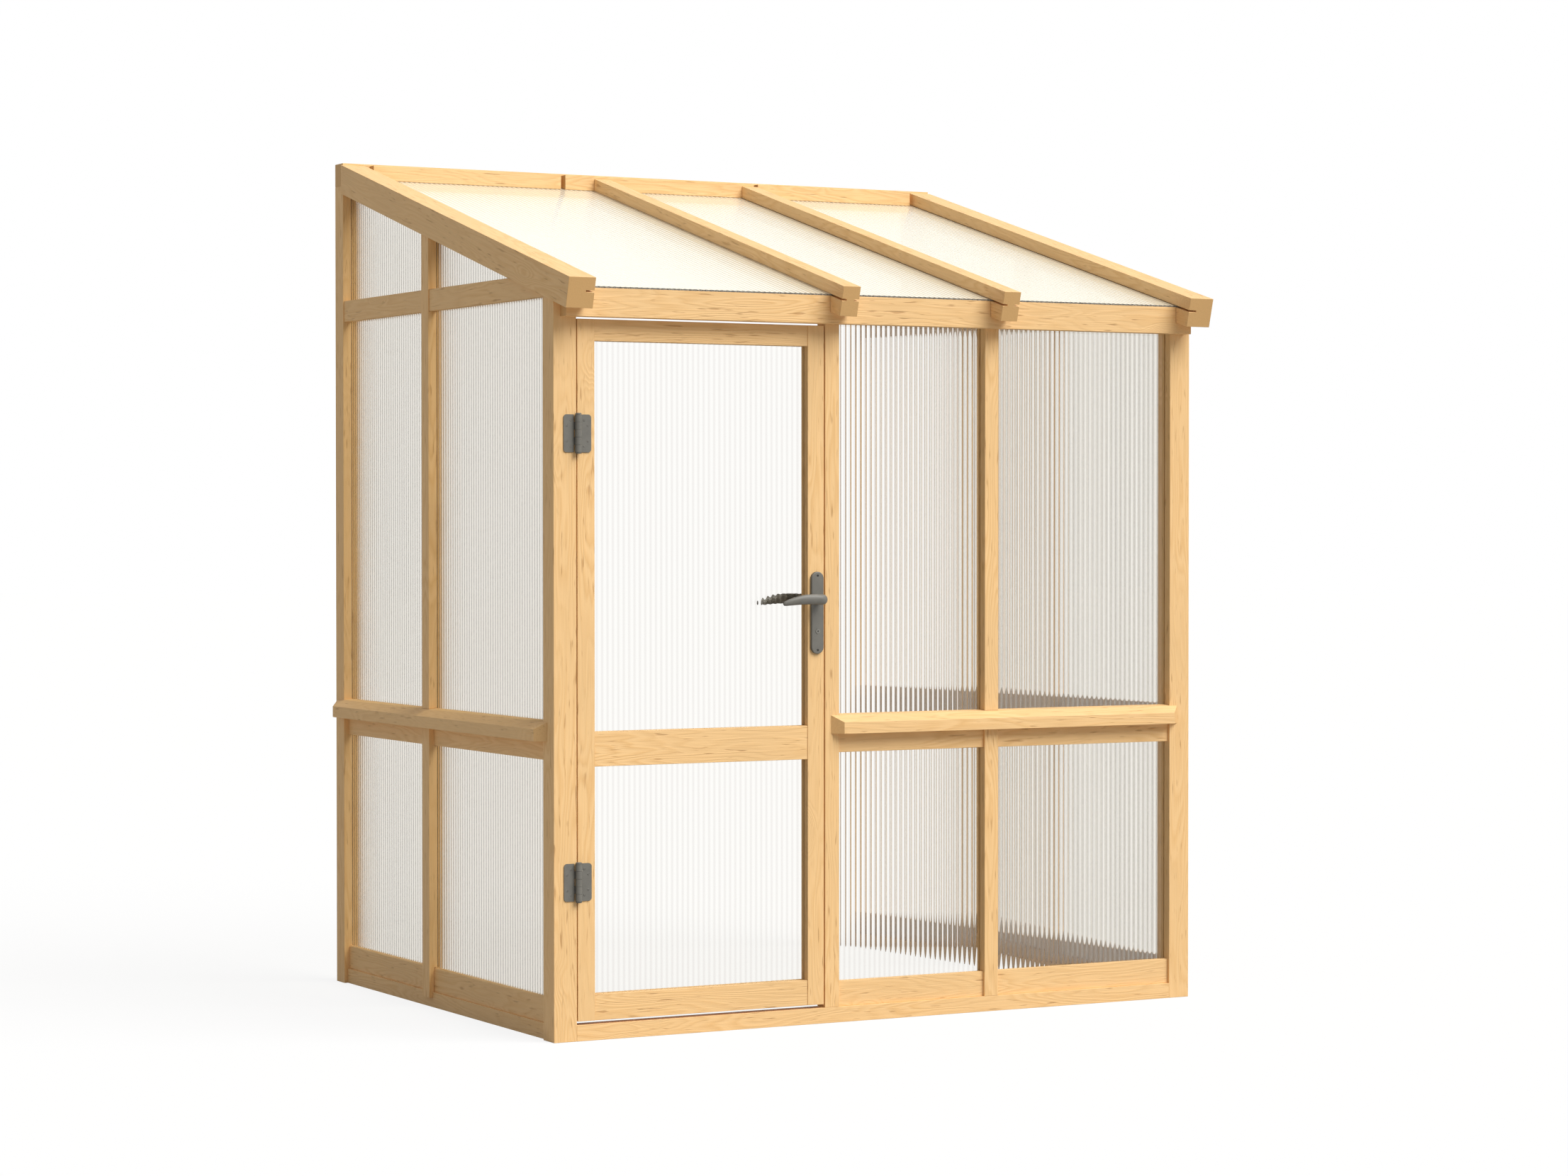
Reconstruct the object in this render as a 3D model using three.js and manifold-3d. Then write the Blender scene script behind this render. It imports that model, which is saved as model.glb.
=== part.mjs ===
// Lean-to greenhouse: a pine frame that leans on a house wall, glazed with ribbed plastic sheet,
// with a hinged door in its front. Millimetres, +Z up. X runs along the front, Y goes back to the
// house wall. Pieces are laid out from the left corner post's outer face and the posts' front faces.

import * as THREE from 'three';
import { mergeVertices } from 'three/addons/utils/BufferGeometryUtils.js';
import Module from 'manifold-3d';

// Overall sizes
const width = 2000; // over the outer faces of the corner posts
const depth = 1512; // front faces of the posts to the house wall
const roofPitchDegrees = 15;
const eavesOverhang = 110; // rafters' upper corner in front of the posts

// Posts
const cornerPost = 66;
const wallPostDepth = 60;
const frontPostWidth = 44;
const sidePostWidth = 48;
const postDepth = 44; // posts and base rails, behind the outer faces
const narrowWindow = 463; // clear width between the door post and the front mid post
const sideWindow = 755; // clear width between a corner post and its side mid post

// Base rails and the boards that close the windows
const baseRailHeight = 42.5;
const sideBaseRailRecess = 10.5;
const sidePostTongue = 16; // side mid posts lap this far down over the base rails
const bottomRailHeight = 69;
const boardBevel = 4;
const frontBoardRecess = 8;
const sideBoardRecess = 16;
const sillRailHeight = 51;
const upperRailHeight = 61;
const upperRailRecess = 3.5;
const upperRailRise = 13.7; // above the rafters' underside at the front faces

// Sills
const sillUnderside = 784; // above the floor
const sillNose = 27; // in front of the posts' outer faces
const sillBackHeight = 54;
const sillFaceHeight = 51;
const sillNoseHeight = 32;
const sillLap = 26; // onto the corner posts and the door post
const sillWallLap = 48; // onto the wall posts

// Glazing
const sheetThickness = 4.5;
const sheetRecess = 26; // walls: outer faces of the posts to the sheet
const sheetHold = 8; // sheet edge inside its groove
const sheetHeadLap = 47; // front sheets behind the header
const sheetEdgeGap = 2; // room for the roof sheets to grow in their grooves

// Roof
const rafterDepth = 82;
const gableRafterWidth = 77.5;
const gableRafterProud = 6.3; // outside the corner posts
const innerRafterWidth = 53.6;
const gableGroove = 25;
const innerGroove = 15;
const roofSheetDrop = 35; // rafters' top to the sheets' top, square to the slope
const headerThickness = 37;
const headerInset = 19.4; // ends inside the corner posts' outer faces
const headerBelowRafters = 41.3;
const plateHeight = 66;
const plateRise = 5.3; // wall plate above the rafters' upper edge
const capBoardThickness = 31; // boards on the wall plate's front, over the sheets
const capBoardGap = 14;
const capBoardJointShares = [0.35, 0.68]; // of the width

// Door
const doorWidth = 736.5;
const doorHeight = 1835;
const doorThickness = 42;
const doorHingeGap = 2.8;
const doorLockGap = 3.7;
const doorThresholdGap = 9.5;
const doorHeadGap = 4;
const stileWidth = 50;
const topRailHeight = 56.5;
const midRailHeight = 90.7;
const doorBottomRailHeight = 68;
const midRailUnderside = 665.3; // above the door's bottom edge
const doorRailRecess = 1.5;
const doorSheetRecess = 20;

// Hinges
const hingeLeafHeight = 99;
const hingeLeafThickness = 2.5;
const frameLeafReach = 39.3; // hinge axis to the leaf's outer edge
const doorLeafReach = 40.4;
const leafCorner = 9;
const knuckleRadius = 9;
const knuckleCount = 5;
const knuckleGap = 0.5;
const pinRadius = 4;
const pinHeadRadius = 8.2;
const pinHeadHeight = 3.2;
const pinHeadChamfer = 1.5;
const hingeAboveDoorBottom = 364.7;
const hingeBelowDoorTop = 299;

// Door furniture
const lockBackset = 23.3; // door edge to the lever and lock centres
const leverAboveDoorBottom = 1097;
const leverAbovePlateCentre = 36.5;
const leverAboveLock = 86.3;
const plateWidth = 38;
const backPlateHeight = 222;
const plateThickness = 8;
const plateBevel = 2.5;
const plateScrewInset = 10.5;
const plateScrewRadius = 1.9;
const leverLength = 127;
const leverStandoff = 42; // plate face to the grip's centre line
const leverDrop = 13;
const leverHalfHeight = 13.5;
const leverHalfThickness = 8;
const spindleSide = 8;
const spindleEngagement = 14;
const spindleClearance = 0.4;
const lockRadius = 6.6;
const lockProud = 1;
const keywayRadius = 2.2;
const keywayDepth = 3;
const caseEndWall = 2;
const caseHalfThickness = 7;
const caseMargin = 18; // beyond the lever and lock centres
const faceplateThickness = 3;
const faceplateHalfWidth = 10;
const faceplateMargin = 10; // beyond the case
const boltHalfHeight = 10;
const boltHalfThickness = 4.5;
const boltProjection = 2.4;
const boltTravel = 8;
const boltTail = 4; // behind the lever's axis
const boltBevel = 2;
const strikeThickness = 2;
const strikeHalfHeight = 45;
const strikeHalfWidth = 11;
const strikePocketDepth = 12;
const strikePocketMargin = 2.5;

// Fits: clearance between pieces that are cut to each other, and the overrun of cutting tools
const fit = 0.3;
const overrun = 5;

// Facets of the round pieces
const knuckleSides = 24;
const boreSides = 24;
const cornerSteps = 5;
const leverSides = 16;

// Places along the front, from the left corner post's outer face
const rightPostInner = width - cornerPost;
const doorLeft = cornerPost + doorHingeGap;
const doorRight = doorLeft + doorWidth;
const doorPostLeft = doorRight + doorLockGap;
const doorPostRight = doorPostLeft + frontPostWidth;
const midPostLeft = doorPostRight + narrowWindow;
const midPostRight = midPostLeft + frontPostWidth;

// Places from front to back
const wallPostFront = depth - wallPostDepth;
const sidePostFront = cornerPost + sideWindow;
const sidePostBack = sidePostFront + sidePostWidth;
const sheetInner = sheetRecess + sheetThickness;

// Heights
const doorBottom = baseRailHeight + doorThresholdGap;
const doorTop = doorBottom + doorHeight;
const headerUnderside = doorTop + doorHeadGap;
const frontHeight = headerUnderside + headerBelowRafters; // rafters' underside at the front faces
const sillRailUnderside = sillUnderside - sillRailHeight;
const bottomRailTop = baseRailHeight + bottomRailHeight;
const upperRailUnderside = frontHeight + upperRailRise;

// Roof lines: the rafters' underside and lines parallel to it, offset square to the slope
const pitch = THREE.MathUtils.degToRad(roofPitchDegrees);
const roofLine = (y, offset = 0) => frontHeight + y * Math.tan(pitch) + offset / Math.cos(pitch);
const roofSheetOffset = rafterDepth - roofSheetDrop - sheetThickness;
const roofSheetTopOffset = roofSheetOffset + sheetThickness;
const capBoardTop = roofLine(wallPostFront, rafterDepth);
const plateTop = capBoardTop + plateRise;
const plateUnderside = plateTop - plateHeight;
const clearOfRoof = plateTop + overrun;

// Materials
const pine = { color: 0xe8bf86, roughness: 0.6, metalness: 0 };
const ribbedSheet = { color: 0xf3f2ec, roughness: 0.3, metalness: 0 };
const greyMetal = { color: 0x74726a, roughness: 0.5, metalness: 0.4 };
const bareSteel = { color: 0xb4b4b0, roughness: 0.35, metalness: 0.9 };

// Solids: closed meshes and what is cut from or joined to them
const wasm = await Module();
wasm.setup();

function toSolid(geometry) {
  const bare = geometry.clone();
  bare.deleteAttribute('normal');
  bare.deleteAttribute('uv');
  const merged = mergeVertices(bare);
  return new wasm.Manifold(new wasm.Mesh({
    numProp: 3,
    vertProperties: new Float32Array(merged.attributes.position.array),
    triVerts: new Uint32Array(merged.index.array),
  }));
}

function toGeometry(solid) {
  const { vertProperties, triVerts } = solid.getMesh();
  const geometry = new THREE.BufferGeometry();
  geometry.setAttribute('position', new THREE.BufferAttribute(new Float32Array(vertProperties), 3));
  geometry.setIndex(new THREE.BufferAttribute(new Uint32Array(triVerts), 1));
  const flat = geometry.toNonIndexed();
  flat.computeVertexNormals();
  return flat;
}

function cut(blank, ...tools) {
  return toGeometry(tools.reduce((solid, tool) => solid.subtract(toSolid(tool)), toSolid(blank)));
}

function join(first, ...others) {
  return toGeometry(others.reduce((solid, other) => solid.add(toSolid(other)), toSolid(first)));
}

function common(first, second) {
  return toGeometry(toSolid(first).intersect(toSolid(second)));
}

// An outline run along an axis between two stations. The outline lies in (y, z) for x, in (x, z)
// for y and in (x, y) for z.
function prism(outline, axis, from, to) {
  const shape = new THREE.Shape(outline.map(([u, v]) => new THREE.Vector2(u, v)));
  const geometry = new THREE.ExtrudeGeometry(shape, { depth: 1, bevelEnabled: false });
  const position = geometry.attributes.position;
  for (let i = 0; i < position.count; i += 1) {
    const u = position.getX(i);
    const v = position.getY(i);
    const atEnd = position.getZ(i) > 0;
    if (axis === 'x') position.setXYZ(i, atEnd ? to : from, u, v);
    if (axis === 'y') position.setXYZ(i, u, atEnd ? from : to, v);
    if (axis === 'z') position.setXYZ(i, u, v, atEnd ? to : from);
  }
  geometry.computeVertexNormals();
  return geometry;
}

function block([x0, x1, y0, y1, z0, z1], slack = 0) {
  const outline = [
    [x0 - slack, y0 - slack], [x1 + slack, y0 - slack],
    [x1 + slack, y1 + slack], [x0 - slack, y1 + slack],
  ];
  return prism(outline, 'z', z0 - slack, z1 + slack);
}

function circle(centreU, centreV, radius, sides) {
  return Array.from({ length: sides }, (unused, i) => {
    const angle = (2 * Math.PI * i) / sides;
    return [centreU + radius * Math.cos(angle), centreV + radius * Math.sin(angle)];
  });
}

// Turns a solid over to the other side of the plane y = 0, faces still outwards
function mirrored(geometry) {
  const flipped = geometry.index ? geometry.toNonIndexed() : geometry.clone();
  const source = flipped.clone().attributes.position;
  for (let i = 0; i < source.count; i += 3) {
    [i, i + 2, i + 1].forEach((from, k) => {
      flipped.attributes.position.setXYZ(i + k, source.getX(from), -source.getY(from), source.getZ(from));
    });
  }
  flipped.computeVertexNormals();
  return flipped;
}

// The space above a line parallel to the roof, between two stations along the front
function aboveRoofLine(offset, x0, x1) {
  const front = -eavesOverhang - overrun;
  const back = depth + overrun;
  const outline = [
    [front, roofLine(front, offset)], [back, roofLine(back, offset)],
    [back, clearOfRoof + rafterDepth], [front, clearOfRoof + rafterDepth],
  ];
  return prism(outline, 'x', x0, x1);
}

const overRafterUnderside = aboveRoofLine(-fit, -overrun - sillNose, width + overrun + sillNose);

// Left and right pieces are alike: distances go inwards from the outer faces of the posts
function across(side, inner0, inner1) {
  return side === 'left' ? [inner0, inner1] : [width - inner1, width - inner0];
}

function addPiece(group, name, geometry, finish) {
  const mesh = new THREE.Mesh(geometry, new THREE.MeshStandardMaterial(finish));
  mesh.name = name;
  group.add(mesh);
  return mesh;
}

const sides = ['left', 'right'];

// Base rails: the front one is also the door's threshold
function addBaseRails(group) {
  const front = [cornerPost, rightPostInner, 0, postDepth, 0, baseRailHeight];
  addPiece(group, 'base_rail_front', block(front), pine);
  for (const side of sides) {
    const span = across(side, sideBaseRailRecess, postDepth);
    addPiece(group, `base_rail_${side}`, block([...span, cornerPost, wallPostFront, 0, baseRailHeight]), pine);
  }
}

// Wall sheets, and the grooves that hold their edges: a groove runs out at the post's top
const frontSheets = {
  wall_sheet_front_mid: [doorPostRight - sheetHold, midPostLeft + sheetHold],
  wall_sheet_front_right: [midPostRight - sheetHold, rightPostInner + sheetHold],
};
const sideSheets = {
  front: [cornerPost - sheetHold, sidePostFront + sheetHold],
  back: [sidePostBack - sheetHold, wallPostFront + sheetHold],
};

function frontSheetBox(name, top) {
  return [...frontSheets[name], sheetRecess, sheetInner, baseRailHeight, top];
}

function sideSheetBox(side, bay) {
  return [...across(side, sheetRecess, sheetInner), ...sideSheets[bay], baseRailHeight, clearOfRoof];
}

function addWallSheets(group) {
  for (const name of Object.keys(frontSheets)) {
    addPiece(group, name, block(frontSheetBox(name, headerUnderside + sheetHeadLap)), ribbedSheet);
  }
  for (const side of sides) {
    for (const bay of Object.keys(sideSheets)) {
      const sheet = cut(block(sideSheetBox(side, bay)), overRafterUnderside);
      addPiece(group, `wall_sheet_${side}_${bay}`, sheet, ribbedSheet);
    }
  }
}

const frontGroove = (name) => block(frontSheetBox(name, clearOfRoof), fit);
const sideGroove = (side, bay) => block(sideSheetBox(side, bay), fit);

// Boards between the posts: they stand in front of the sheets and pass through the mid posts
const frontBoards = {
  bottom_rail: [baseRailHeight, bottomRailTop],
  sill_rail: [sillRailUnderside, sillUnderside],
};
const frontBoardBox = (name) => [
  doorPostRight, rightPostInner, frontBoardRecess, sheetRecess, ...frontBoards[name],
];
const sideBoards = {
  bottom_rail: [sideBoardRecess, baseRailHeight, bottomRailTop],
  sill_rail: [sideBoardRecess, sillRailUnderside, sillUnderside],
  upper_rail: [upperRailRecess, upperRailUnderside, upperRailUnderside + upperRailHeight],
};
const sideBoardBox = (side, name) => {
  const [recess, bottom, top] = sideBoards[name];
  return [...across(side, recess, sheetRecess), cornerPost, wallPostFront, bottom, top];
};

// The bottom rails' upper outer edge is bevelled to shed water
function frontBevel() {
  const outline = [
    [frontBoardRecess, bottomRailTop], [frontBoardRecess, bottomRailTop - boardBevel],
    [frontBoardRecess - overrun, bottomRailTop - boardBevel - overrun],
    [frontBoardRecess - overrun, bottomRailTop + boardBevel + overrun],
    [frontBoardRecess + boardBevel + overrun, bottomRailTop + overrun],
    [frontBoardRecess + boardBevel, bottomRailTop],
  ];
  return prism(outline, 'x', doorPostRight - overrun, rightPostInner + overrun);
}

function sideBevel(side) {
  const outline = [
    [sideBoardRecess - overrun, bottomRailTop - boardBevel - overrun],
    [sideBoardRecess, bottomRailTop - boardBevel], [sideBoardRecess + boardBevel, bottomRailTop],
    [sideBoardRecess + boardBevel + overrun, bottomRailTop + overrun],
    [sideBoardRecess - overrun, bottomRailTop + overrun],
  ].map(([inwards, z]) => [side === 'left' ? inwards : width - inwards, z]);
  return prism(outline, 'y', cornerPost - overrun, wallPostFront + overrun);
}

function addBoards(group) {
  addPiece(group, 'bottom_rail_front', cut(block(frontBoardBox('bottom_rail')), frontBevel()), pine);
  addPiece(group, 'sill_rail_front', block(frontBoardBox('sill_rail')), pine);
  for (const side of sides) {
    const bottomRail = cut(block(sideBoardBox(side, 'bottom_rail')), sideBevel(side));
    addPiece(group, `bottom_rail_${side}`, bottomRail, pine);
    addPiece(group, `sill_rail_${side}`, block(sideBoardBox(side, 'sill_rail')), pine);
    const upperRail = cut(block(sideBoardBox(side, 'upper_rail')), overRafterUnderside);
    addPiece(group, `upper_rail_${side}`, upperRail, pine);
  }
}

// Sills: a sloping top and a nose, mitred where they lap onto the end posts. The section is given
// by the distance outwards from the posts' faces and the height.
function sillSection(slack = 0) {
  return [
    [-sheetRecess - slack, sillUnderside - slack],
    [sillNose + slack, sillUnderside - slack],
    [sillNose + slack, sillUnderside + sillNoseHeight + slack],
    [0, sillUnderside + sillFaceHeight + slack],
    [-sheetRecess - slack, sillUnderside + sillBackHeight + slack],
  ];
}

function frontSillBar(from, to, slack) {
  return prism(sillSection(slack).map(([outwards, z]) => [-outwards, z]), 'x', from, to);
}

function sideSillBar(side, from, to, slack) {
  const place = ([outwards, z]) => [side === 'left' ? -outwards : width + outwards, z];
  return prism(sillSection(slack).map(place), 'y', from, to);
}

// Seen from above: the run between the posts, and the nose with its mitred ends
function sillPlan(start, end, startLap, endLap) {
  return [
    [start - startLap, 0], [start - startLap + sillNose, sillNose], [end + endLap - sillNose, sillNose],
    [end + endLap, 0], [end, 0], [end, -sheetRecess], [start, -sheetRecess], [start, 0],
  ];
}

function addSills(group) {
  const below = sillUnderside - overrun;
  const above = sillUnderside + sillBackHeight + overrun;
  const frontPlan = sillPlan(doorPostRight, rightPostInner, sillLap, sillLap)
    .map(([along, outwards]) => [along, -outwards]);
  const frontBar = frontSillBar(doorPostRight - sillLap, rightPostInner + sillLap);
  addPiece(group, 'sill_front', common(frontBar, prism(frontPlan, 'z', below, above)), pine);
  for (const side of sides) {
    const plan = sillPlan(cornerPost, wallPostFront, sillLap, sillWallLap)
      .map(([along, outwards]) => [side === 'left' ? -outwards : width + outwards, along]);
    const bar = sideSillBar(side, cornerPost - sillLap, wallPostFront + sillWallLap);
    addPiece(group, `sill_${side}`, common(bar, prism(plan, 'z', below, above)), pine);
  }
}

// Posts: grooved for the sheets, mortised for the boards and sills, cut to the rafters on top
function frontMidPost() {
  const blank = block([midPostLeft, midPostRight, 0, postDepth, baseRailHeight, clearOfRoof]);
  return cut(
    blank, overRafterUnderside, frontGroove('wall_sheet_front_mid'), frontGroove('wall_sheet_front_right'),
    block(frontBoardBox('bottom_rail'), fit), block(frontBoardBox('sill_rail'), fit),
    frontSillBar(midPostLeft - overrun, midPostRight + overrun, fit),
  );
}

function sideMidPost(side) {
  const outline = [
    [0, baseRailHeight - sidePostTongue], [sideBaseRailRecess, baseRailHeight - sidePostTongue],
    [sideBaseRailRecess, baseRailHeight], [postDepth, baseRailHeight],
    [postDepth, clearOfRoof], [0, clearOfRoof],
  ].map(([inwards, z]) => [side === 'left' ? inwards : width - inwards, z]);
  const boards = Object.keys(sideBoards).map((name) => block(sideBoardBox(side, name), fit));
  return cut(
    prism(outline, 'y', sidePostFront, sidePostBack), overRafterUnderside, ...boards,
    sideGroove(side, 'front'), sideGroove(side, 'back'),
    sideSillBar(side, sidePostFront - overrun, sidePostBack + overrun, fit),
  );
}

function addPosts(group) {
  const cornerBox = (side) => [...across(side, 0, cornerPost), 0, cornerPost, 0, clearOfRoof];
  const leftPost = cut(block(cornerBox('left')), overRafterUnderside, sideGroove('left', 'front'));
  const rightPost = cut(
    block(cornerBox('right')), overRafterUnderside, sideGroove('right', 'front'),
    frontGroove('wall_sheet_front_right'),
  );
  addPiece(group, 'post_front_left', leftPost, pine);
  addPiece(group, 'post_front_right', rightPost, pine);
  const doorPost = block([doorPostLeft, doorPostRight, 0, postDepth, baseRailHeight, clearOfRoof]);
  addPiece(group, 'post_door', cut(
    doorPost, overRafterUnderside, frontGroove('wall_sheet_front_mid'), block(strikeBox, fit), strikePocket(),
  ), pine);
  addPiece(group, 'post_front_mid', frontMidPost(), pine);
  for (const side of sides) {
    addPiece(group, `post_${side}_mid`, sideMidPost(side), pine);
    const wallPost = block([...across(side, 0, cornerPost), wallPostFront, depth, 0, plateUnderside]);
    addPiece(group, `post_${side}_wall`, cut(wallPost, sideGroove(side, 'back')), pine);
  }
}

// Rafters: the gable pair stands proud of the side walls, the inner pair sits on the front posts
const innerRafterSpan = (postLeft) => {
  const centre = postLeft + frontPostWidth / 2;
  return [centre - innerRafterWidth / 2, centre + innerRafterWidth / 2];
};
const rafters = {
  rafter_gable_left: [-gableRafterProud, gableRafterWidth - gableRafterProud],
  rafter_inner_left: innerRafterSpan(doorPostLeft),
  rafter_inner_right: innerRafterSpan(midPostLeft),
  rafter_gable_right: [width + gableRafterProud - gableRafterWidth, width + gableRafterProud],
};

function rafterBlank([x0, x1]) {
  const tip = -eavesOverhang;
  const tipTop = roofLine(tip, rafterDepth);
  const outline = [
    [tip + rafterDepth * Math.sin(pitch), tipTop - rafterDepth * Math.cos(pitch)],
    [wallPostFront, roofLine(wallPostFront)], [wallPostFront, capBoardTop], [tip, tipTop],
  ];
  return prism(outline, 'x', x0, x1);
}

// The groove for a roof sheet's edge runs the whole length of the rafter
function rafterGroove(x0, x1) {
  const front = -eavesOverhang - overrun;
  const back = wallPostFront + overrun;
  const outline = [
    [front, roofLine(front, roofSheetOffset - fit)], [back, roofLine(back, roofSheetOffset - fit)],
    [back, roofLine(back, roofSheetTopOffset + fit)], [front, roofLine(front, roofSheetTopOffset + fit)],
  ];
  return prism(outline, 'x', x0, x1);
}

// Boards on the wall plate's front close the roof sheets' upper ends
function capBoard(x0, x1) {
  const front = wallPostFront - capBoardThickness;
  const back = wallPostFront + overrun;
  const outline = [
    [front, roofLine(front, roofSheetTopOffset) + fit], [back, roofLine(back, roofSheetTopOffset) + fit],
    [back, capBoardTop], [front, capBoardTop],
  ];
  return prism(outline, 'x', x0, x1);
}

// The inner rafters' upper ends are notched under the cap boards and run on to the wall plate
function capBoardNotch([x0, x1]) {
  const front = wallPostFront - capBoardThickness - fit;
  const back = wallPostFront + overrun;
  const outline = [
    [front, roofLine(front, roofSheetTopOffset)], [back, roofLine(back, roofSheetTopOffset)],
    [back, clearOfRoof + rafterDepth], [front, clearOfRoof + rafterDepth],
  ];
  return prism(outline, 'x', x0 - overrun, x1 + overrun);
}

const grooveBottoms = {
  rafter_gable_left: [null, rafters.rafter_gable_left[1] - gableGroove],
  rafter_inner_left: [rafters.rafter_inner_left[0] + innerGroove, rafters.rafter_inner_left[1] - innerGroove],
  rafter_inner_right: [rafters.rafter_inner_right[0] + innerGroove, rafters.rafter_inner_right[1] - innerGroove],
  rafter_gable_right: [rafters.rafter_gable_right[0] + gableGroove, null],
};

function addRafters(group) {
  for (const [name, span] of Object.entries(rafters)) {
    const tools = [];
    const [leftBottom, rightBottom] = grooveBottoms[name];
    if (leftBottom !== null) tools.push(rafterGroove(span[0] - overrun, leftBottom));
    if (rightBottom !== null) tools.push(rafterGroove(rightBottom, span[1] + overrun));
    if (tools.length > 1) tools.push(capBoardNotch(span));
    addPiece(group, name, cut(rafterBlank(span), ...tools), pine);
  }
}

// Roof sheets: square-cut, held in the rafters' grooves over the header
function roofSheet(x0, x1) {
  const front = -headerThickness;
  const back = wallPostFront - fit;
  const riseY = -sheetThickness * Math.sin(pitch);
  const riseZ = sheetThickness * Math.cos(pitch);
  const frontZ = roofLine(front, roofSheetOffset);
  const backZ = roofLine(back, roofSheetOffset);
  const outline = [
    [front, frontZ], [back, backZ], [back + riseY, backZ + riseZ], [front + riseY, frontZ + riseZ],
  ];
  return prism(outline, 'x', x0, x1);
}

function addRoofSheets(group) {
  const bays = {
    roof_sheet_left: ['rafter_gable_left', 'rafter_inner_left'],
    roof_sheet_mid: ['rafter_inner_left', 'rafter_inner_right'],
    roof_sheet_right: ['rafter_inner_right', 'rafter_gable_right'],
  };
  for (const [name, [leftRafter, rightRafter]] of Object.entries(bays)) {
    const from = grooveBottoms[leftRafter][1] + sheetEdgeGap;
    const to = grooveBottoms[rightRafter][0] - sheetEdgeGap;
    addPiece(group, name, roofSheet(from, to), ribbedSheet);
  }
}

// Header: on the posts' front faces, notched for the rafters and sloped under the roof sheets
function addHeader(group) {
  const blank = block([headerInset, width - headerInset, -headerThickness, 0, headerUnderside, clearOfRoof]);
  const notches = Object.values(rafters).map(([x0, x1]) => aboveRoofLine(-fit, x0 - fit, x1 + fit));
  const overSheets = aboveRoofLine(roofSheetOffset - fit, -overrun, width + overrun);
  addPiece(group, 'header', cut(blank, overSheets, ...notches), pine);
}

// Wall plate with its cap boards: three lengths with gaps between them
function addWallPlate(group) {
  const plate = block([0, width, wallPostFront, depth, plateUnderside, plateTop]);
  const joints = capBoardJointShares.map((share) => share * width);
  const starts = [rafters.rafter_gable_left[1] + capBoardGap, ...joints.map((x) => x + capBoardGap / 2)];
  const ends = [...joints.map((x) => x - capBoardGap / 2), rafters.rafter_gable_right[0] - capBoardGap];
  const boards = starts.map((start, i) => capBoard(start, ends[i]));
  addPiece(group, 'wall_plate', join(plate, ...boards), pine);
}

// Door: stiles and rails grooved for two sheets
const doorSheetBox = (bottom, top) => [
  doorLeft + stileWidth - sheetHold, doorRight - stileWidth + sheetHold,
  doorSheetRecess, doorSheetRecess + sheetThickness, bottom - sheetHold, top + sheetHold,
];
const midRailBottom = doorBottom + midRailUnderside;
const midRailTop = midRailBottom + midRailHeight;
const lowerSheetBox = doorSheetBox(doorBottom + doorBottomRailHeight, midRailBottom);
const upperSheetBox = doorSheetBox(midRailTop, doorTop - topRailHeight);

// Places of the lever, the lock and the latch
const leverX = doorRight - lockBackset;
const leverZ = doorBottom + leverAboveDoorBottom;
const lockZ = leverZ - leverAboveLock;
const latchY = doorThickness / 2;
const spindleHoleRadius = (spindleSide / 2) * Math.SQRT2 + spindleClearance;
const strikeBox = [
  doorPostLeft, doorPostLeft + strikeThickness, latchY - strikeHalfWidth, latchY + strikeHalfWidth,
  leverZ - strikeHalfHeight, leverZ + strikeHalfHeight,
];

function strikePocket() {
  const halfWidth = boltHalfThickness + strikePocketMargin;
  const halfHeight = boltHalfHeight + strikePocketMargin;
  return block([
    doorPostLeft - overrun, doorPostLeft + strikePocketDepth,
    latchY - halfWidth, latchY + halfWidth, leverZ - halfHeight, leverZ + halfHeight,
  ]);
}

const roundHole = (z, radius, y0, y1) => prism(circle(leverX, z, radius, boreSides), 'y', y0, y1);

const caseBox = [
  doorRight - stileWidth + sheetHold + caseEndWall, doorRight, latchY - caseHalfThickness,
  latchY + caseHalfThickness, lockZ - caseMargin, leverZ + caseMargin,
];
const faceplateBox = [
  doorRight - faceplateThickness, doorRight, latchY - faceplateHalfWidth, latchY + faceplateHalfWidth,
  lockZ - caseMargin - faceplateMargin, leverZ + caseMargin + faceplateMargin,
];

function addDoorFrame(group) {
  const through = [-overrun, doorThickness + overrun];
  const sheets = [block(lowerSheetBox, fit), block(upperSheetBox, fit)];
  const hingeStile = block([doorLeft, doorLeft + stileWidth, 0, doorThickness, doorBottom, doorTop]);
  addPiece(group, 'door_stile_hinge', cut(hingeStile, ...sheets), pine);
  const lockStile = block([doorRight - stileWidth, doorRight, 0, doorThickness, doorBottom, doorTop]);
  addPiece(group, 'door_stile_lock', cut(
    lockStile, ...sheets, block(caseBox, fit), block(faceplateBox, fit),
    roundHole(leverZ, spindleHoleRadius, ...through), roundHole(lockZ, lockRadius + fit, ...through),
  ), pine);
  const rails = {
    door_rail_bottom: [doorBottom, doorBottom + doorBottomRailHeight],
    door_rail_mid: [midRailBottom, midRailTop],
    door_rail_top: [doorTop - topRailHeight, doorTop],
  };
  for (const [name, [bottom, top]] of Object.entries(rails)) {
    const rail = block([
      doorLeft + stileWidth, doorRight - stileWidth, doorRailRecess, doorThickness - doorRailRecess, bottom, top,
    ]);
    addPiece(group, name, cut(rail, ...sheets), pine);
  }
  addPiece(group, 'door_sheet_lower', block(lowerSheetBox), ribbedSheet);
  addPiece(group, 'door_sheet_upper', block(upperSheetBox), ribbedSheet);
}

// Hinges: each is drawn about its own middle, with the wood's face at y = 0
const hingeX = (cornerPost + doorLeft) / 2;
const hingeProud = knuckleRadius + fit; // axis in front of the wood
const knuckleLength = hingeLeafHeight / knuckleCount;

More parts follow.
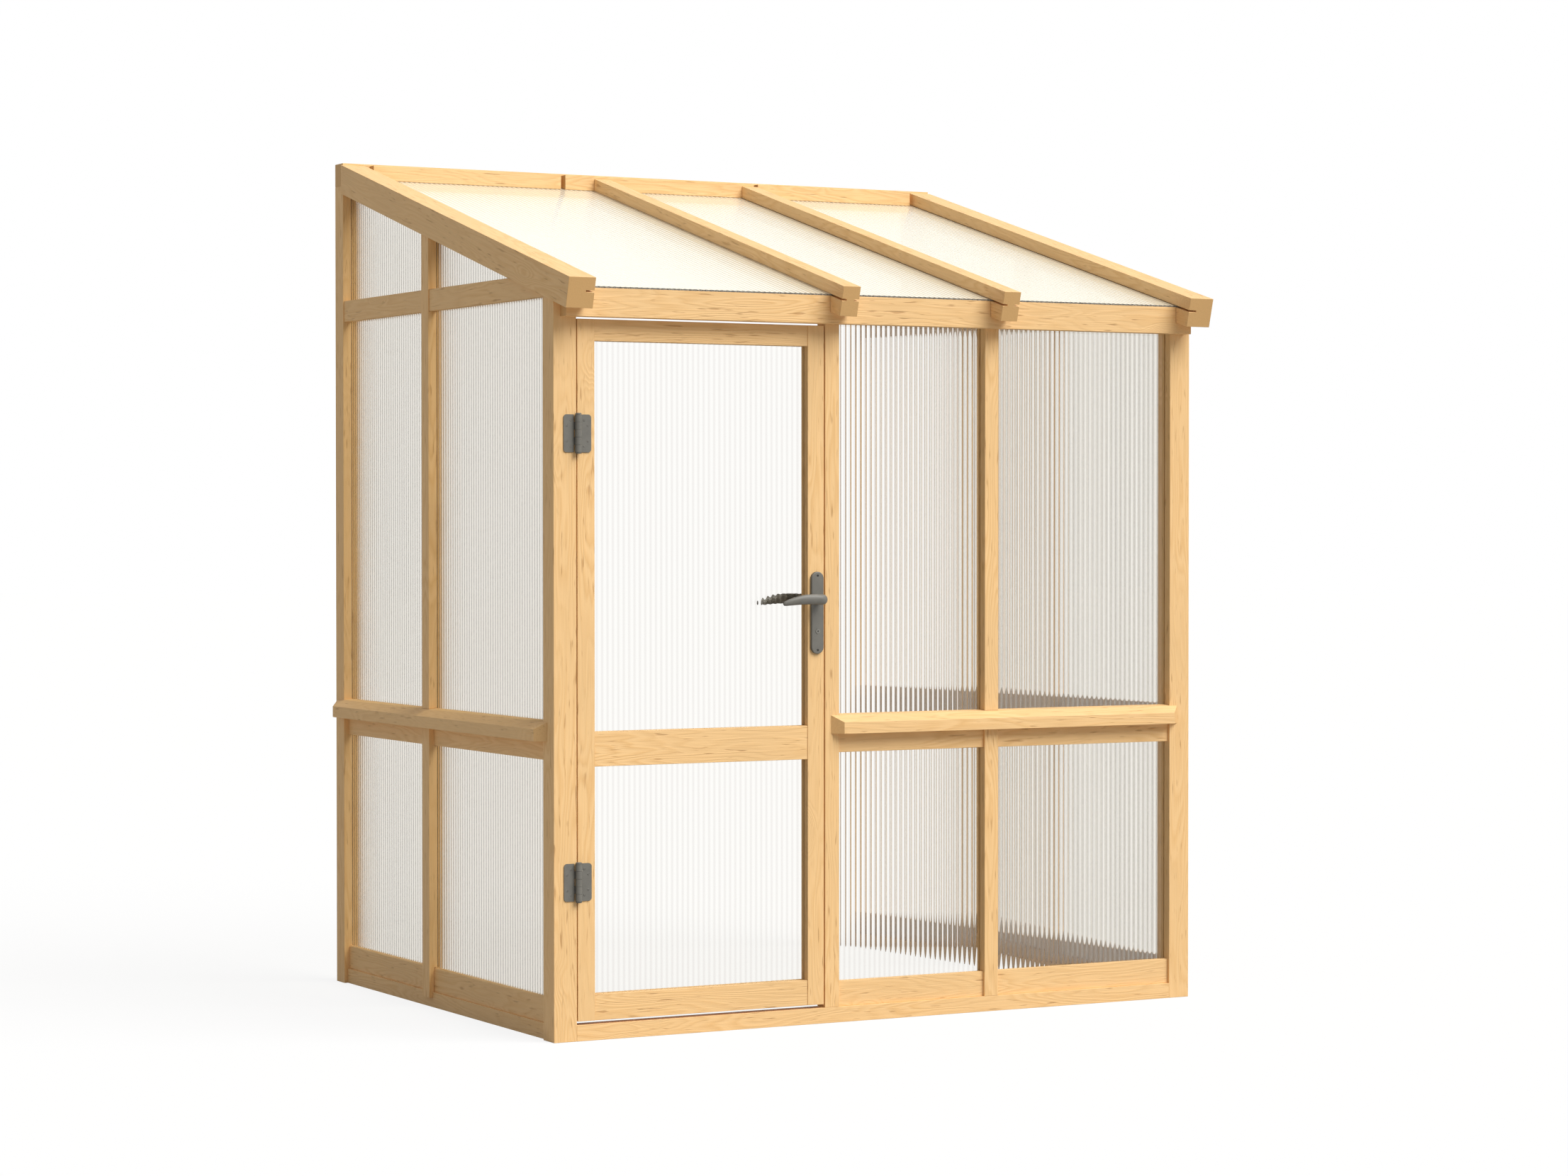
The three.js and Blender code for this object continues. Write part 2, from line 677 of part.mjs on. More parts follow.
function leafOutline(reach) {
  const inner = knuckleRadius + 2 * fit;
  const half = hingeLeafHeight / 2;
  const shape = new THREE.Shape();
  shape.moveTo(inner, -half);
  shape.lineTo(reach - leafCorner, -half);
  shape.absarc(reach - leafCorner, -half + leafCorner, leafCorner, -Math.PI / 2, 0, false);
  shape.absarc(reach - leafCorner, half - leafCorner, leafCorner, 0, Math.PI / 2, false);
  shape.lineTo(inner, half);
  return shape.getPoints(cornerSteps).map(({ x, y }) => [x, y]);
}

function hingeLeaf(reach, direction, knuckles) {
  const outline = leafOutline(reach).map(([x, z]) => [direction * x, z]);
  const parts = [];
  for (const k of knuckles) {
    const low = -hingeLeafHeight / 2 + k * knuckleLength + knuckleGap / 2;
    const high = low + knuckleLength - knuckleGap;
    parts.push(prism(circle(0, -hingeProud, knuckleRadius, knuckleSides), 'z', low, high));
    const tongue = [0, direction * (knuckleRadius + overrun)].sort((a, b) => a - b);
    parts.push(block([...tongue, -hingeLeafThickness, 0, low, high]));
  }
  const bore = prism(circle(0, -hingeProud, pinRadius + fit, boreSides), 'z', -hingeLeafHeight, hingeLeafHeight);
  return cut(join(prism(outline, 'y', -hingeLeafThickness, 0), ...parts), bore);
}

function hingePin() {
  const seat = hingeLeafHeight / 2 + fit;
  const end = seat + pinHeadHeight;
  const half = [
    [0, end], [pinHeadRadius - pinHeadChamfer, end], [pinHeadRadius, end - pinHeadChamfer],
    [pinHeadRadius, seat], [pinRadius, seat],
  ];
  const profile = [...half.map(([r, z]) => [r, -z]), ...half.reverse()].map(([r, z]) => new THREE.Vector2(r, z));
  const geometry = new THREE.LatheGeometry(profile, knuckleSides);
  geometry.rotateX(Math.PI / 2);
  geometry.translate(0, -hingeProud, 0);
  return geometry;
}

function addHinges(frameGroup, doorGroup) {
  const places = { lower: doorBottom + hingeAboveDoorBottom, upper: doorTop - hingeBelowDoorTop };
  for (const [name, z] of Object.entries(places)) {
    const pieces = [
      addPiece(frameGroup, `hinge_${name}_frame_leaf`, hingeLeaf(frameLeafReach, -1, [1, 3]), greyMetal),
      addPiece(frameGroup, `hinge_${name}_pin`, hingePin(), greyMetal),
      addPiece(doorGroup, `hinge_${name}_door_leaf`, hingeLeaf(doorLeafReach, 1, [0, 2, 4]), greyMetal),
    ];
    pieces.forEach((piece) => piece.position.set(hingeX, 0, z));
  }
}

// Back plate: a bar with round ends and a softened edge, drawn about the lever's axis
function backPlate() {
  const radius = plateWidth / 2;
  const centre = -leverAbovePlateCentre;
  const straight = backPlateHeight / 2 - radius;
  const shape = new THREE.Shape();
  shape.absarc(0, centre + straight, radius, 0, Math.PI, false);
  shape.absarc(0, centre - straight, radius, Math.PI, 2 * Math.PI, false);
  const plate = new THREE.ExtrudeGeometry(shape, {
    depth: plateThickness - plateBevel, bevelThickness: plateBevel, bevelSize: plateBevel,
    bevelOffset: -plateBevel, bevelSegments: 2, curveSegments: 2 * cornerSteps,
  });
  plate.rotateX(Math.PI / 2);
  const behind = block([-plateWidth, plateWidth, 0, 2 * plateThickness, -backPlateHeight, backPlateHeight]);
  const drill = (z, holeRadius) => prism(circle(0, z, holeRadius, boreSides), 'y', -2 * plateThickness, overrun);
  const screwOffset = backPlateHeight / 2 - plateScrewInset;
  return cut(
    plate, behind, drill(0, spindleHoleRadius), drill(-leverAboveLock, lockRadius + fit),
    drill(centre + screwOffset, plateScrewRadius), drill(centre - screwOffset, plateScrewRadius),
  );
}

// Lever: an oval section swept out of the plate, round an elbow and along the grip to a drooping tip.
// Each station gives its place along the grip, outwards and down, and the section's half height and
// half thickness, as shares of the lever's sizes.
const leverStationShares = [
  [0, 0, 0, 0.75, 1.3], [0, 0.35, 0, 0.75, 1.3], [0, 0.62, 0, 0.9, 1.5], [0.01, 0.84, 0, 1, 1.2],
  [0.05, 0.96, 0, 1, 1.1], [0.11, 1, 0, 1, 1.05], [0.25, 1.02, -0.05, 1, 1], [0.45, 1.03, -0.05, 0.96, 0.95],
  [0.62, 1.02, 0.1, 0.88, 0.9], [0.78, 0.98, 0.35, 0.75, 0.8], [0.9, 0.94, 0.6, 0.55, 0.65],
  [0.97, 0.9, 0.8, 0.33, 0.45], [1, 0.88, 0.9, 0.14, 0.25],
];

function leverGrip() {
  const up = new THREE.Vector3(0, 0, 1);
  const centres = leverStationShares.map(([along, outwards, down]) => new THREE.Vector3(
    -along * leverLength, -plateThickness - fit - outwards * leverStandoff, -down * leverDrop,
  ));
  const points = [];
  centres.forEach((centre, i) => {
    const next = centres[Math.min(i + 1, centres.length - 1)];
    const previous = centres[Math.max(i - 1, 0)];
    const tangent = next.clone().sub(previous).setZ(0).normalize();
    const across = new THREE.Vector3().crossVectors(up, tangent);
    const [, , , heightShare, thicknessShare] = leverStationShares[i];
    for (const [u, v] of circle(0, 0, 1, leverSides)) {
      const point = centre.clone().addScaledVector(across, u * thicknessShare * leverHalfThickness);
      points.push(point.addScaledVector(up, v * heightShare * leverHalfHeight));
    }
  });
  points.push(centres[0], centres[centres.length - 1]);
  const indices = [];
  for (let ring = 0; ring < centres.length - 1; ring += 1) {
    for (let side = 0; side < leverSides; side += 1) {
      const a = ring * leverSides + side;
      const b = ring * leverSides + ((side + 1) % leverSides);
      indices.push(a, b, a + leverSides, b, b + leverSides, a + leverSides);
    }
  }
  const lastRing = (centres.length - 1) * leverSides;
  for (let side = 0; side < leverSides; side += 1) {
    const next = (side + 1) % leverSides;
    indices.push(points.length - 2, next, side);
    indices.push(points.length - 1, lastRing + side, lastRing + next);
  }
  const geometry = new THREE.BufferGeometry().setFromPoints(points);
  geometry.setIndex(indices);
  const half = spindleSide / 2;
  const reach = plateThickness + spindleEngagement;
  return cut(geometry, block([-half, half, -reach, overrun, -half, half], fit));
}

function addDoorFurniture(doorGroup, leverGroup) {
  const outerPlate = backPlate();
  const outerLever = leverGrip();
  addPiece(doorGroup, 'handle_plate_outer', outerPlate, greyMetal).position.set(leverX, 0, leverZ);
  addPiece(doorGroup, 'handle_plate_inner', mirrored(outerPlate), greyMetal)
    .position.set(leverX, doorThickness, leverZ);
  addPiece(leverGroup, 'lever_outer', outerLever, greyMetal).position.set(leverX, 0, leverZ);
  addPiece(leverGroup, 'lever_inner', mirrored(outerLever), greyMetal)
    .position.set(leverX, doorThickness, leverZ);
  const reach = plateThickness + spindleEngagement;
  const half = spindleSide / 2;
  addPiece(leverGroup, 'spindle', block([
    leverX - half, leverX + half, -reach, doorThickness + reach, leverZ - half, leverZ + half,
  ]), bareSteel);
  const lockEnds = [-plateThickness - lockProud, doorThickness + plateThickness + lockProud];
  addPiece(doorGroup, 'lock_cylinder', cut(
    roundHole(lockZ, lockRadius, ...lockEnds),
    roundHole(lockZ, keywayRadius, lockEnds[0] - overrun, lockEnds[0] + keywayDepth),
  ), bareSteel);
}

// Latch: a case let into the lock stile, and a bolt that forks round the spindle
function addLatch(doorGroup, latchGroup, frameGroup) {
  const throughCase = [latchY - faceplateHalfWidth - overrun, latchY + faceplateHalfWidth + overrun];
  const boltBore = block([
    caseBox[0] + caseEndWall, doorRight + overrun, latchY - boltHalfThickness - fit,
    latchY + boltHalfThickness + fit, leverZ - boltHalfHeight - fit, leverZ + boltHalfHeight + fit,
  ]);
  addPiece(doorGroup, 'latch_case', cut(
    join(block(caseBox), block(faceplateBox)), boltBore, roundHole(leverZ, spindleHoleRadius, ...throughCase),
    roundHole(lockZ, lockRadius + fit, ...throughCase),
  ), bareSteel);
  const nose = doorRight + boltProjection;
  const tail = leverX - boltTail;
  const boltPlan = [
    [tail, latchY - boltHalfThickness], [nose, latchY - boltHalfThickness],
    [nose - boltBevel, latchY + boltHalfThickness], [tail, latchY + boltHalfThickness],
  ];
  const fork = block([
    tail - overrun, leverX + spindleHoleRadius + boltTravel, latchY - boltHalfThickness - overrun,
    latchY + boltHalfThickness + overrun, leverZ - spindleHoleRadius, leverZ + spindleHoleRadius,
  ]);
  const bolt = prism(boltPlan, 'z', leverZ - boltHalfHeight, leverZ + boltHalfHeight);
  addPiece(latchGroup, 'latch_bolt', cut(bolt, fork), bareSteel);
  addPiece(frameGroup, 'strike_plate', cut(block(strikeBox), strikePocket()), bareSteel);
}

const greenhouse = new THREE.Group();
const frameGroup = new THREE.Group();
const doorGroup = new THREE.Group();
const leverGroup = new THREE.Group();
const latchGroup = new THREE.Group();
doorGroup.add(leverGroup, latchGroup);
greenhouse.add(frameGroup, doorGroup);

addBaseRails(frameGroup);
addPosts(frameGroup);
addBoards(frameGroup);
addSills(frameGroup);
addWallSheets(frameGroup);
addHeader(frameGroup);
addRafters(frameGroup);
addRoofSheets(frameGroup);
addWallPlate(frameGroup);
addDoorFrame(doorGroup);
addHinges(frameGroup, doorGroup);
addDoorFurniture(doorGroup, leverGroup);
addLatch(doorGroup, latchGroup, frameGroup);

// The origin is on the floor, in the middle of the greenhouse's outline seen from above
greenhouse.position.set(-width / 2, -(depth - eavesOverhang) / 2, 0);

export default greenhouse;
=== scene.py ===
"""A lean-to greenhouse: a pine frame glazed with clear ribbed sheets, with one hinged door.

Lengths are in metres. X runs along the front, Y from the front to the house wall, and Z up.
"""

import math

import bmesh
import bpy
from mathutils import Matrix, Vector


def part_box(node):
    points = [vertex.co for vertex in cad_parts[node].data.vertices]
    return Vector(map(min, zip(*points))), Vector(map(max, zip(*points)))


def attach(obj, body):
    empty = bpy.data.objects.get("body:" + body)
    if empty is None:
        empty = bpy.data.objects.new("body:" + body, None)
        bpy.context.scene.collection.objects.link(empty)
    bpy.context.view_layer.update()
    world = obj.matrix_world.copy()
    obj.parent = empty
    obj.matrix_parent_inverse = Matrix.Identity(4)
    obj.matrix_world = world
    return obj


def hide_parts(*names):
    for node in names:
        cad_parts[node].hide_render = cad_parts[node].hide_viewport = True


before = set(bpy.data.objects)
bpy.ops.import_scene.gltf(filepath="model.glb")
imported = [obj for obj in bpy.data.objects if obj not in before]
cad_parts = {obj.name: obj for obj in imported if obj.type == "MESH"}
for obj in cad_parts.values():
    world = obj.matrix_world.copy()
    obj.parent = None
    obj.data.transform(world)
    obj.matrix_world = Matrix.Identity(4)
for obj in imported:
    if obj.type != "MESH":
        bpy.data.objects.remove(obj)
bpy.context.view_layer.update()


# Base rails: three rails that lie on the ground between the corner posts; the front one is also
# the door's threshold. Like all the boards they are planed pine, with grooves where a sheet goes
# in, and with their arrises taken off by sandpaper.

def linear(code):
    """A linear colour with alpha, from an sRGB hex code such as 'e8c08a'."""
    parts = [int(code[i:i + 2], 16) / 255 for i in (0, 2, 4)]
    return [c / 12.92 if c <= 0.04045 else ((c + 0.055) / 1.055) ** 2.4 for c in parts] + [1]


def add(tree, kind, links=(), **settings):
    """Adds a node: settings are its properties, and links are pairs of a socket and what it gets.

    That is a value, another node's output, or a node, which stands for its first output.
    """
    node = tree.nodes.new(kind)
    for name, value in settings.items():
        setattr(node, name, value)
    for socket, value in links:
        if isinstance(value, bpy.types.Node):
            value = value.outputs[0]
        if isinstance(value, bpy.types.NodeSocket):
            tree.links.new(value, node.inputs[socket])
        else:
            node.inputs[socket].default_value = value
    return node


def new_material(name):
    """A material and its tree, still without nodes."""
    material = bpy.data.materials.new(name)
    material.use_nodes = True
    material.node_tree.nodes.clear()
    return material, material.node_tree


# A Mix node repeats its sockets' names for each kind of value, so those for colours go by number.
COLOUR_A, COLOUR_B, MIXED_COLOUR = 6, 7, 2

PINE_EARLY = "f3c98f"       # the pale wood that grows in spring
PINE_LATE = "dfae6d"        # the darker line that closes each year
PINE_KNOT = "a9763f"        # knots and resin streaks
END_GRAIN = "e2dacb"        # multiplies the colour where a saw cut across the fibres
PINE_ROUGHNESS, PINE_IOR = 0.62, 1.5
# cells per metre of each pattern: along the board, through its thickness and across its width
RING_CELLS = (1.1, 10.0, 10.0)
KNOT_CELLS = (2.3, 0.0, 5.5)
FIBRE_CELLS = (9.0, 420.0, 420.0)       # bundles of about 1 mm, coarser than real so that they show
STREAK_CELLS = (16.0, 150.0, 150.0)     # resin streaks 1 to 2 mm wide and up to 40 mm long
PATCH_CELLS = 2.6                       # slow changes of tone from one part of a board to the next
RINGS = 26.0                            # rings over the full range of the ring pattern
LATE_STARTS, LATE_PEAKS = 0.22, 0.74    # shares of one ring's width
PATCH_LOW, PATCH_HIGH = 0.4, 0.6        # levels of the noise between one patch and the next
LATE_LEAST, LATE_MOST = 0.16, 0.52      # how strongly late wood shows, from patch to patch
KNOT_REACH, KNOT_SWELL = 0.26, 0.3      # rings bend this many cells round a knot, by this much
KNOT_RIM, KNOT_HEART = 0.05, 0.03       # the dark knot's own size, in cells
KNOT_DARK, STREAK_DARK = 0.75, 0.55     # shares of the knot colour
STREAK_EDGE, STREAK_CORE = 0.63, 0.80   # levels of the noise that become a streak
TONE_LOW, TONE_HIGH = 0.6, 1.4          # levels of the fibres' and the patches' noise together
TONE_LEAST, TONE_MOST = 0.92, 1.06      # what they multiply the colour by
SIDE_GRAIN, SAWN_END = 0.3, 0.9         # how squarely a face cuts the fibres, as a cosine
RINGS_ON_SAWN_END = 0.12                # the rings' strength there
PINE_RELIEF = 0.0009
LATE_HEIGHT, MARK_DEPTH = 0.6, 2.2      # shares of that relief, beside the fibres' own


def planed_pine(name, turn):
    """Planed pine; turn brings a board's length onto X, its thickness onto Y and its width onto Z.

    To the eye it is warm and matt, with soft rings, small knots and short dark streaks of resin,
    and its sawn ends are browner and plain.
    """
    material, tree = new_material(name)
    surface = add(tree, "ShaderNodeTexCoord")
    turned = add(tree, "ShaderNodeMapping",
                 [("Vector", surface.outputs["Object"]), ("Rotation", turn)])
    log = add(tree, "ShaderNodeAttribute", attribute_name="board")
    grain = add(tree, "ShaderNodeVectorMath", [(0, turned), (1, log.outputs["Vector"])],
                operation="ADD")

    # rings: the contours of a noise drawn out along the board, bent round the knots
    knot_place = add(tree, "ShaderNodeVectorMath", [(0, grain), (1, KNOT_CELLS)],
                     operation="MULTIPLY")
    knots = add(tree, "ShaderNodeTexVoronoi",
                [("Vector", knot_place), ("Scale", 1.0), ("Randomness", 0.9)],
                feature="F1", voronoi_dimensions="3D")
    swell = add(tree, "ShaderNodeMapRange",
                [("Value", knots), ("From Min", KNOT_REACH), ("From Max", 0.0), ("To Min", 0.0),
                 ("To Max", KNOT_SWELL)], interpolation_type="SMOOTHERSTEP")
    ring_place = add(tree, "ShaderNodeVectorMath", [(0, grain), (1, RING_CELLS)],
                     operation="MULTIPLY")
    field = add(tree, "ShaderNodeTexNoise",
                [("Vector", ring_place), ("Scale", 1.0), ("Detail", 3.0), ("Roughness", 0.42)])
    bent = add(tree, "ShaderNodeMath", [(0, field), (1, swell)], operation="ADD")
    counted = add(tree, "ShaderNodeMath", [(0, bent), (1, RINGS)], operation="MULTIPLY")
    ring = add(tree, "ShaderNodeMath", [(0, counted)], operation="FRACT")
    late = add(tree, "ShaderNodeValToRGB", [("Fac", ring)])
    stops = late.color_ramp.elements
    stops[0].position, stops[0].color = LATE_STARTS, linear("000000")
    stops[1].position, stops[1].color = LATE_PEAKS, linear("ffffff")
    stops.new(1.0).color = linear("000000")

    # fibres, streaks of resin, and patches of lighter and darker wood
    fibre_place = add(tree, "ShaderNodeVectorMath", [(0, grain), (1, FIBRE_CELLS)],
                      operation="MULTIPLY")
    fibres = add(tree, "ShaderNodeTexNoise",
                 [("Vector", fibre_place), ("Scale", 1.0), ("Detail", 2.0)])
    streak_place = add(tree, "ShaderNodeVectorMath", [(0, grain), (1, STREAK_CELLS)],
                       operation="MULTIPLY")
    streaked = add(tree, "ShaderNodeTexNoise",
                   [("Vector", streak_place), ("Scale", 1.0), ("Detail", 1.0)])
    streaks = add(tree, "ShaderNodeMapRange",
                  [("Value", streaked), ("From Min", STREAK_EDGE), ("From Max", STREAK_CORE),
                   ("To Min", 0.0), ("To Max", STREAK_DARK)], interpolation_type="SMOOTHSTEP")
    patches = add(tree, "ShaderNodeTexNoise",
                  [("Vector", grain), ("Scale", PATCH_CELLS), ("Detail", 1.0)])

    # sawn ends, where the face looks along the board, show all of this faintly
    facing = add(tree, "ShaderNodeMapping",
                 [("Vector", surface.outputs["Normal"]), ("Rotation", turn)])
    lengthwise = add(tree, "ShaderNodeSeparateXYZ", [(0, facing)])
    squareness = add(tree, "ShaderNodeMath", [(0, lengthwise.outputs["X"])], operation="ABSOLUTE")
    strength = add(tree, "ShaderNodeMapRange",
                   [("Value", squareness), ("From Min", SIDE_GRAIN), ("From Max", SAWN_END),
                    ("To Min", 1.0), ("To Max", RINGS_ON_SAWN_END)])
    sawn = add(tree, "ShaderNodeMapRange",
               [("Value", squareness), ("From Min", SIDE_GRAIN), ("From Max", SAWN_END)])

    # colour: early wood, late wood over it, then knots and streaks, fibres, and the sawn ends
    shown = add(tree, "ShaderNodeMath", [(0, late), (1, strength)], operation="MULTIPLY")
    plain = add(tree, "ShaderNodeMapRange",
                [("Value", patches), ("From Min", PATCH_LOW), ("From Max", PATCH_HIGH),
                 ("To Min", LATE_LEAST), ("To Max", LATE_MOST)])
    amount = add(tree, "ShaderNodeMath", [(0, shown), (1, plain)], operation="MULTIPLY")
    ringed = add(tree, "ShaderNodeMix",
                 [("Factor", amount), (COLOUR_A, linear(PINE_EARLY)),
                  (COLOUR_B, linear(PINE_LATE))], data_type="RGBA")
    knot_core = add(tree, "ShaderNodeMapRange",
                    [("Value", knots), ("From Min", KNOT_RIM), ("From Max", KNOT_HEART),
                     ("To Min", 0.0), ("To Max", KNOT_DARK)], interpolation_type="SMOOTHSTEP")
    marks = add(tree, "ShaderNodeMath", [(0, knot_core), (1, streaks)], operation="MAXIMUM")
    dark_marks = add(tree, "ShaderNodeMath", [(0, marks), (1, strength)], operation="MULTIPLY")
    knotted = add(tree, "ShaderNodeMix",
                  [("Factor", dark_marks), (COLOUR_A, ringed.outputs[MIXED_COLOUR]),
                   (COLOUR_B, linear(PINE_KNOT))], data_type="RGBA")
    both_tones = add(tree, "ShaderNodeMath", [(0, fibres), (1, patches)], operation="ADD")
    tone = add(tree, "ShaderNodeMapRange",
               [("Value", both_tones), ("From Min", TONE_LOW), ("From Max", TONE_HIGH),
                ("To Min", TONE_LEAST), ("To Max", TONE_MOST)])
    toned = add(tree, "ShaderNodeMix",
                [("Factor", 1.0), (COLOUR_A, knotted.outputs[MIXED_COLOUR]), (COLOUR_B, tone)],
                data_type="RGBA", blend_type="MULTIPLY")
    ended = add(tree, "ShaderNodeMix",
                [("Factor", sawn), (COLOUR_A, toned.outputs[MIXED_COLOUR]),
                 (COLOUR_B, linear(END_GRAIN))], data_type="RGBA", blend_type="MULTIPLY")

    # relief: late wood stands a little proud, and knots and streaks lie low
    worn = add(tree, "ShaderNodeMath", [(0, dark_marks), (1, MARK_DEPTH)], operation="MULTIPLY")
    proud = add(tree, "ShaderNodeMath", [(0, shown), (1, LATE_HEIGHT)], operation="MULTIPLY")
    raised = add(tree, "ShaderNodeMath", [(0, proud), (1, worn)], operation="SUBTRACT")
    fine = add(tree, "ShaderNodeMath", [(0, fibres), (1, strength)], operation="MULTIPLY")
    relief = add(tree, "ShaderNodeMath", [(0, raised), (1, fine)], operation="ADD")
    bump = add(tree, "ShaderNodeBump",
               [("Height", relief), ("Strength", 0.6), ("Distance", PINE_RELIEF)])
    skin = add(tree, "ShaderNodeBsdfPrincipled",
               [("Base Color", ended.outputs[MIXED_COLOUR]), ("Roughness", PINE_ROUGHNESS),
                ("IOR", PINE_IOR), ("Normal", bump)])
    add(tree, "ShaderNodeOutputMaterial", [("Surface", skin)])
    return material


MERGED = 1e-6                       # points closer than this are one corner
IN_ONE_FACE = math.radians(0.6)     # faces that meet at less than this are one flat face
EASED_FROM = math.radians(25)       # edges that turn by more than this are eased
SHADED_SHARP = math.radians(28)     # edges that turn by more than this are shaded sharp
ARRIS_STEPS = 2


def finished(node, arris, material, body, shortest=0.015):
    """A CAD node as a finished piece, which replaces it: merged, and in its material.

    Its convex edges are eased by an arris of this width where they are longer than the shortest.
    """
    shape = bmesh.new()
    shape.from_mesh(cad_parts[node].data)
    bmesh.ops.remove_doubles(shape, verts=shape.verts, dist=MERGED)
    bmesh.ops.dissolve_limit(shape, angle_limit=IN_ONE_FACE, verts=shape.verts, edges=shape.edges)
    weights = shape.edges.layers.float.new("bevel_weight_edge")
    for edge in shape.edges:
        sharp = len(edge.link_faces) == 2 and edge.calc_face_angle(0) > EASED_FROM
        edge[weights] = 1.0 if sharp and edge.is_convex and edge.calc_length() > shortest else 0.0
    rough = bpy.data.meshes.new(node + "_rough")
    shape.to_mesh(rough)
    shape.free()
    holder = bpy.data.objects.new(node + "_rough", rough)
    bpy.context.scene.collection.objects.link(holder)
    easing = holder.modifiers.new("easing", "BEVEL")
    easing.limit_method = "WEIGHT"
    easing.width = arris
    easing.segments = ARRIS_STEPS
    easing.use_clamp_overlap = False
    seen = holder.evaluated_get(bpy.context.evaluated_depsgraph_get())
    mesh = bpy.data.meshes.new_from_object(seen)
    mesh.name = node + "_finished"
    bpy.data.objects.remove(holder)
    bpy.data.meshes.remove(rough)
    mesh.shade_smooth()
    mesh.set_sharp_from_angle(angle=SHADED_SHARP)
    mesh.materials.clear()
    mesh.materials.append(material)
    piece = bpy.data.objects.new(node + "_finished", mesh)
    bpy.context.scene.collection.objects.link(piece)
    # the wide faces shade flat, and only the eased edges shade round
    flat_faces = piece.modifiers.new("flat faces", "WEIGHTED_NORMAL")
    flat_faces.keep_sharp = True
    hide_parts(node)
    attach(piece, body)
    return piece


BOARD_ARRIS = 0.0012
# how far each board lies from the last one in its log, and where that starts again, on X, Y and Z
LOG_STEPS = ((0.731, 3.0), (0.377, 2.0), (0.619, 2.0))
boards_cut = []


def board(node, material, body="frame"):
    """One board: eased edges, and a place of its own in the log so that no two match."""
    piece = finished(node, BOARD_ARRIS, material, body)
    shift = [(len(boards_cut) * step) % limit for step, limit in LOG_STEPS]
    boards_cut.append(node)
    place = piece.data.attributes.new("board", "FLOAT_VECTOR", "POINT")
    place.data.foreach_set("vector", shift * len(piece.data.vertices))
    return piece


pine_lengthwise = planed_pine("planed pine, grain along the front", (0, 0, 0))
pine_sideways = planed_pine("planed pine, grain along the sides", (0, 0, -math.pi / 2))
board("base_rail_front", pine_lengthwise)
for side in ("left", "right"):
    board("base_rail_" + side, pine_sideways)


# Posts: planed pine, square ones that stand on the ground at the corners and against the house
# wall, and narrower ones on the base rails. The sheets are pushed into grooves in them.

pine_upright = planed_pine("planed pine, grain upright", (0, math.pi / 2, 0))
for node in ("post_front_left", "post_front_right", "post_door", "post_front_mid", "post_left_mid",
             "post_right_mid", "post_left_wall", "post_right_wall"):
    board(node, pine_upright)


# Rails and sills: planed pine boards let in between the posts, below, at half height and on the
# sides also above. The sills lie on the middle ones. Their tops are bevelled to shed rain, and
# their ends are mitred round the corners.

for node in ("bottom_rail_front", "sill_rail_front", "sill_front"):
    board(node, pine_lengthwise)
for side in ("left", "right"):
    for node in ("bottom_rail_", "sill_rail_", "upper_rail_", "sill_"):
        board(node + side, pine_sideways)


# Header, rafters and wall plate: planed pine. The header lies over the front posts and carries the
# four rafters, whose ends are sawn square and stand out past it. The plate is screwed to the
# house wall, carries their upper ends, and has boards on its front that cover the joints.

ROOF_PITCH = math.radians(15)
pine_sloping = planed_pine("planed pine, grain up the roof", (-ROOF_PITCH, 0, -math.pi / 2))
board("header", pine_lengthwise)
for node in ("rafter_gable_left", "rafter_inner_left", "rafter_inner_right", "rafter_gable_right"):
    board(node, pine_sloping)
board("wall_plate", pine_lengthwise)


# Door leaf: two upright stiles with three rails between them, of the same planed pine, dowelled
# and glued. Grooves round the two openings hold the door's sheets.

for node in ("door_stile_hinge", "door_stile_lock"):
    board(node, pine_upright, "door")
for node in ("door_rail_bottom", "door_rail_mid", "door_rail_top"):
    board(node, pine_lengthwise, "door")


# Glazing: clear polycarbonate, extruded with ribs on both faces and sawn to length. The sheets are
# pushed into the grooves of the boards and lie loose there, so that they can grow in the sun.

RIB_PITCH = 0.0158
OUTER_RIB, INNER_RIB = 0.0007, 0.0003       # depth on each face; both faces swell together
STEPS_PER_RIB = 16
PLASTIC_IOR = 1.5
VALLEY_STARTS = 0.25                        # share of a rib's depth where its tint starts to change
SLANT_STARTS, SLANT_ENDS = 0.22, 0.50       # turn from the eye: 0 is seen from ahead, 1 edge on
MIRROR_AHEAD = 0.04                         # share of light that clear plastic reflects from ahead
MIRROR_RISE = 5.0                           # the power of that turn with which the mirror grows
MIRROR_ROUGHNESS, MILKY_ROUGHNESS = 0.10, 0.08
DIMMED = "f1f0ec"                           # what is left of light that falls through a sheet


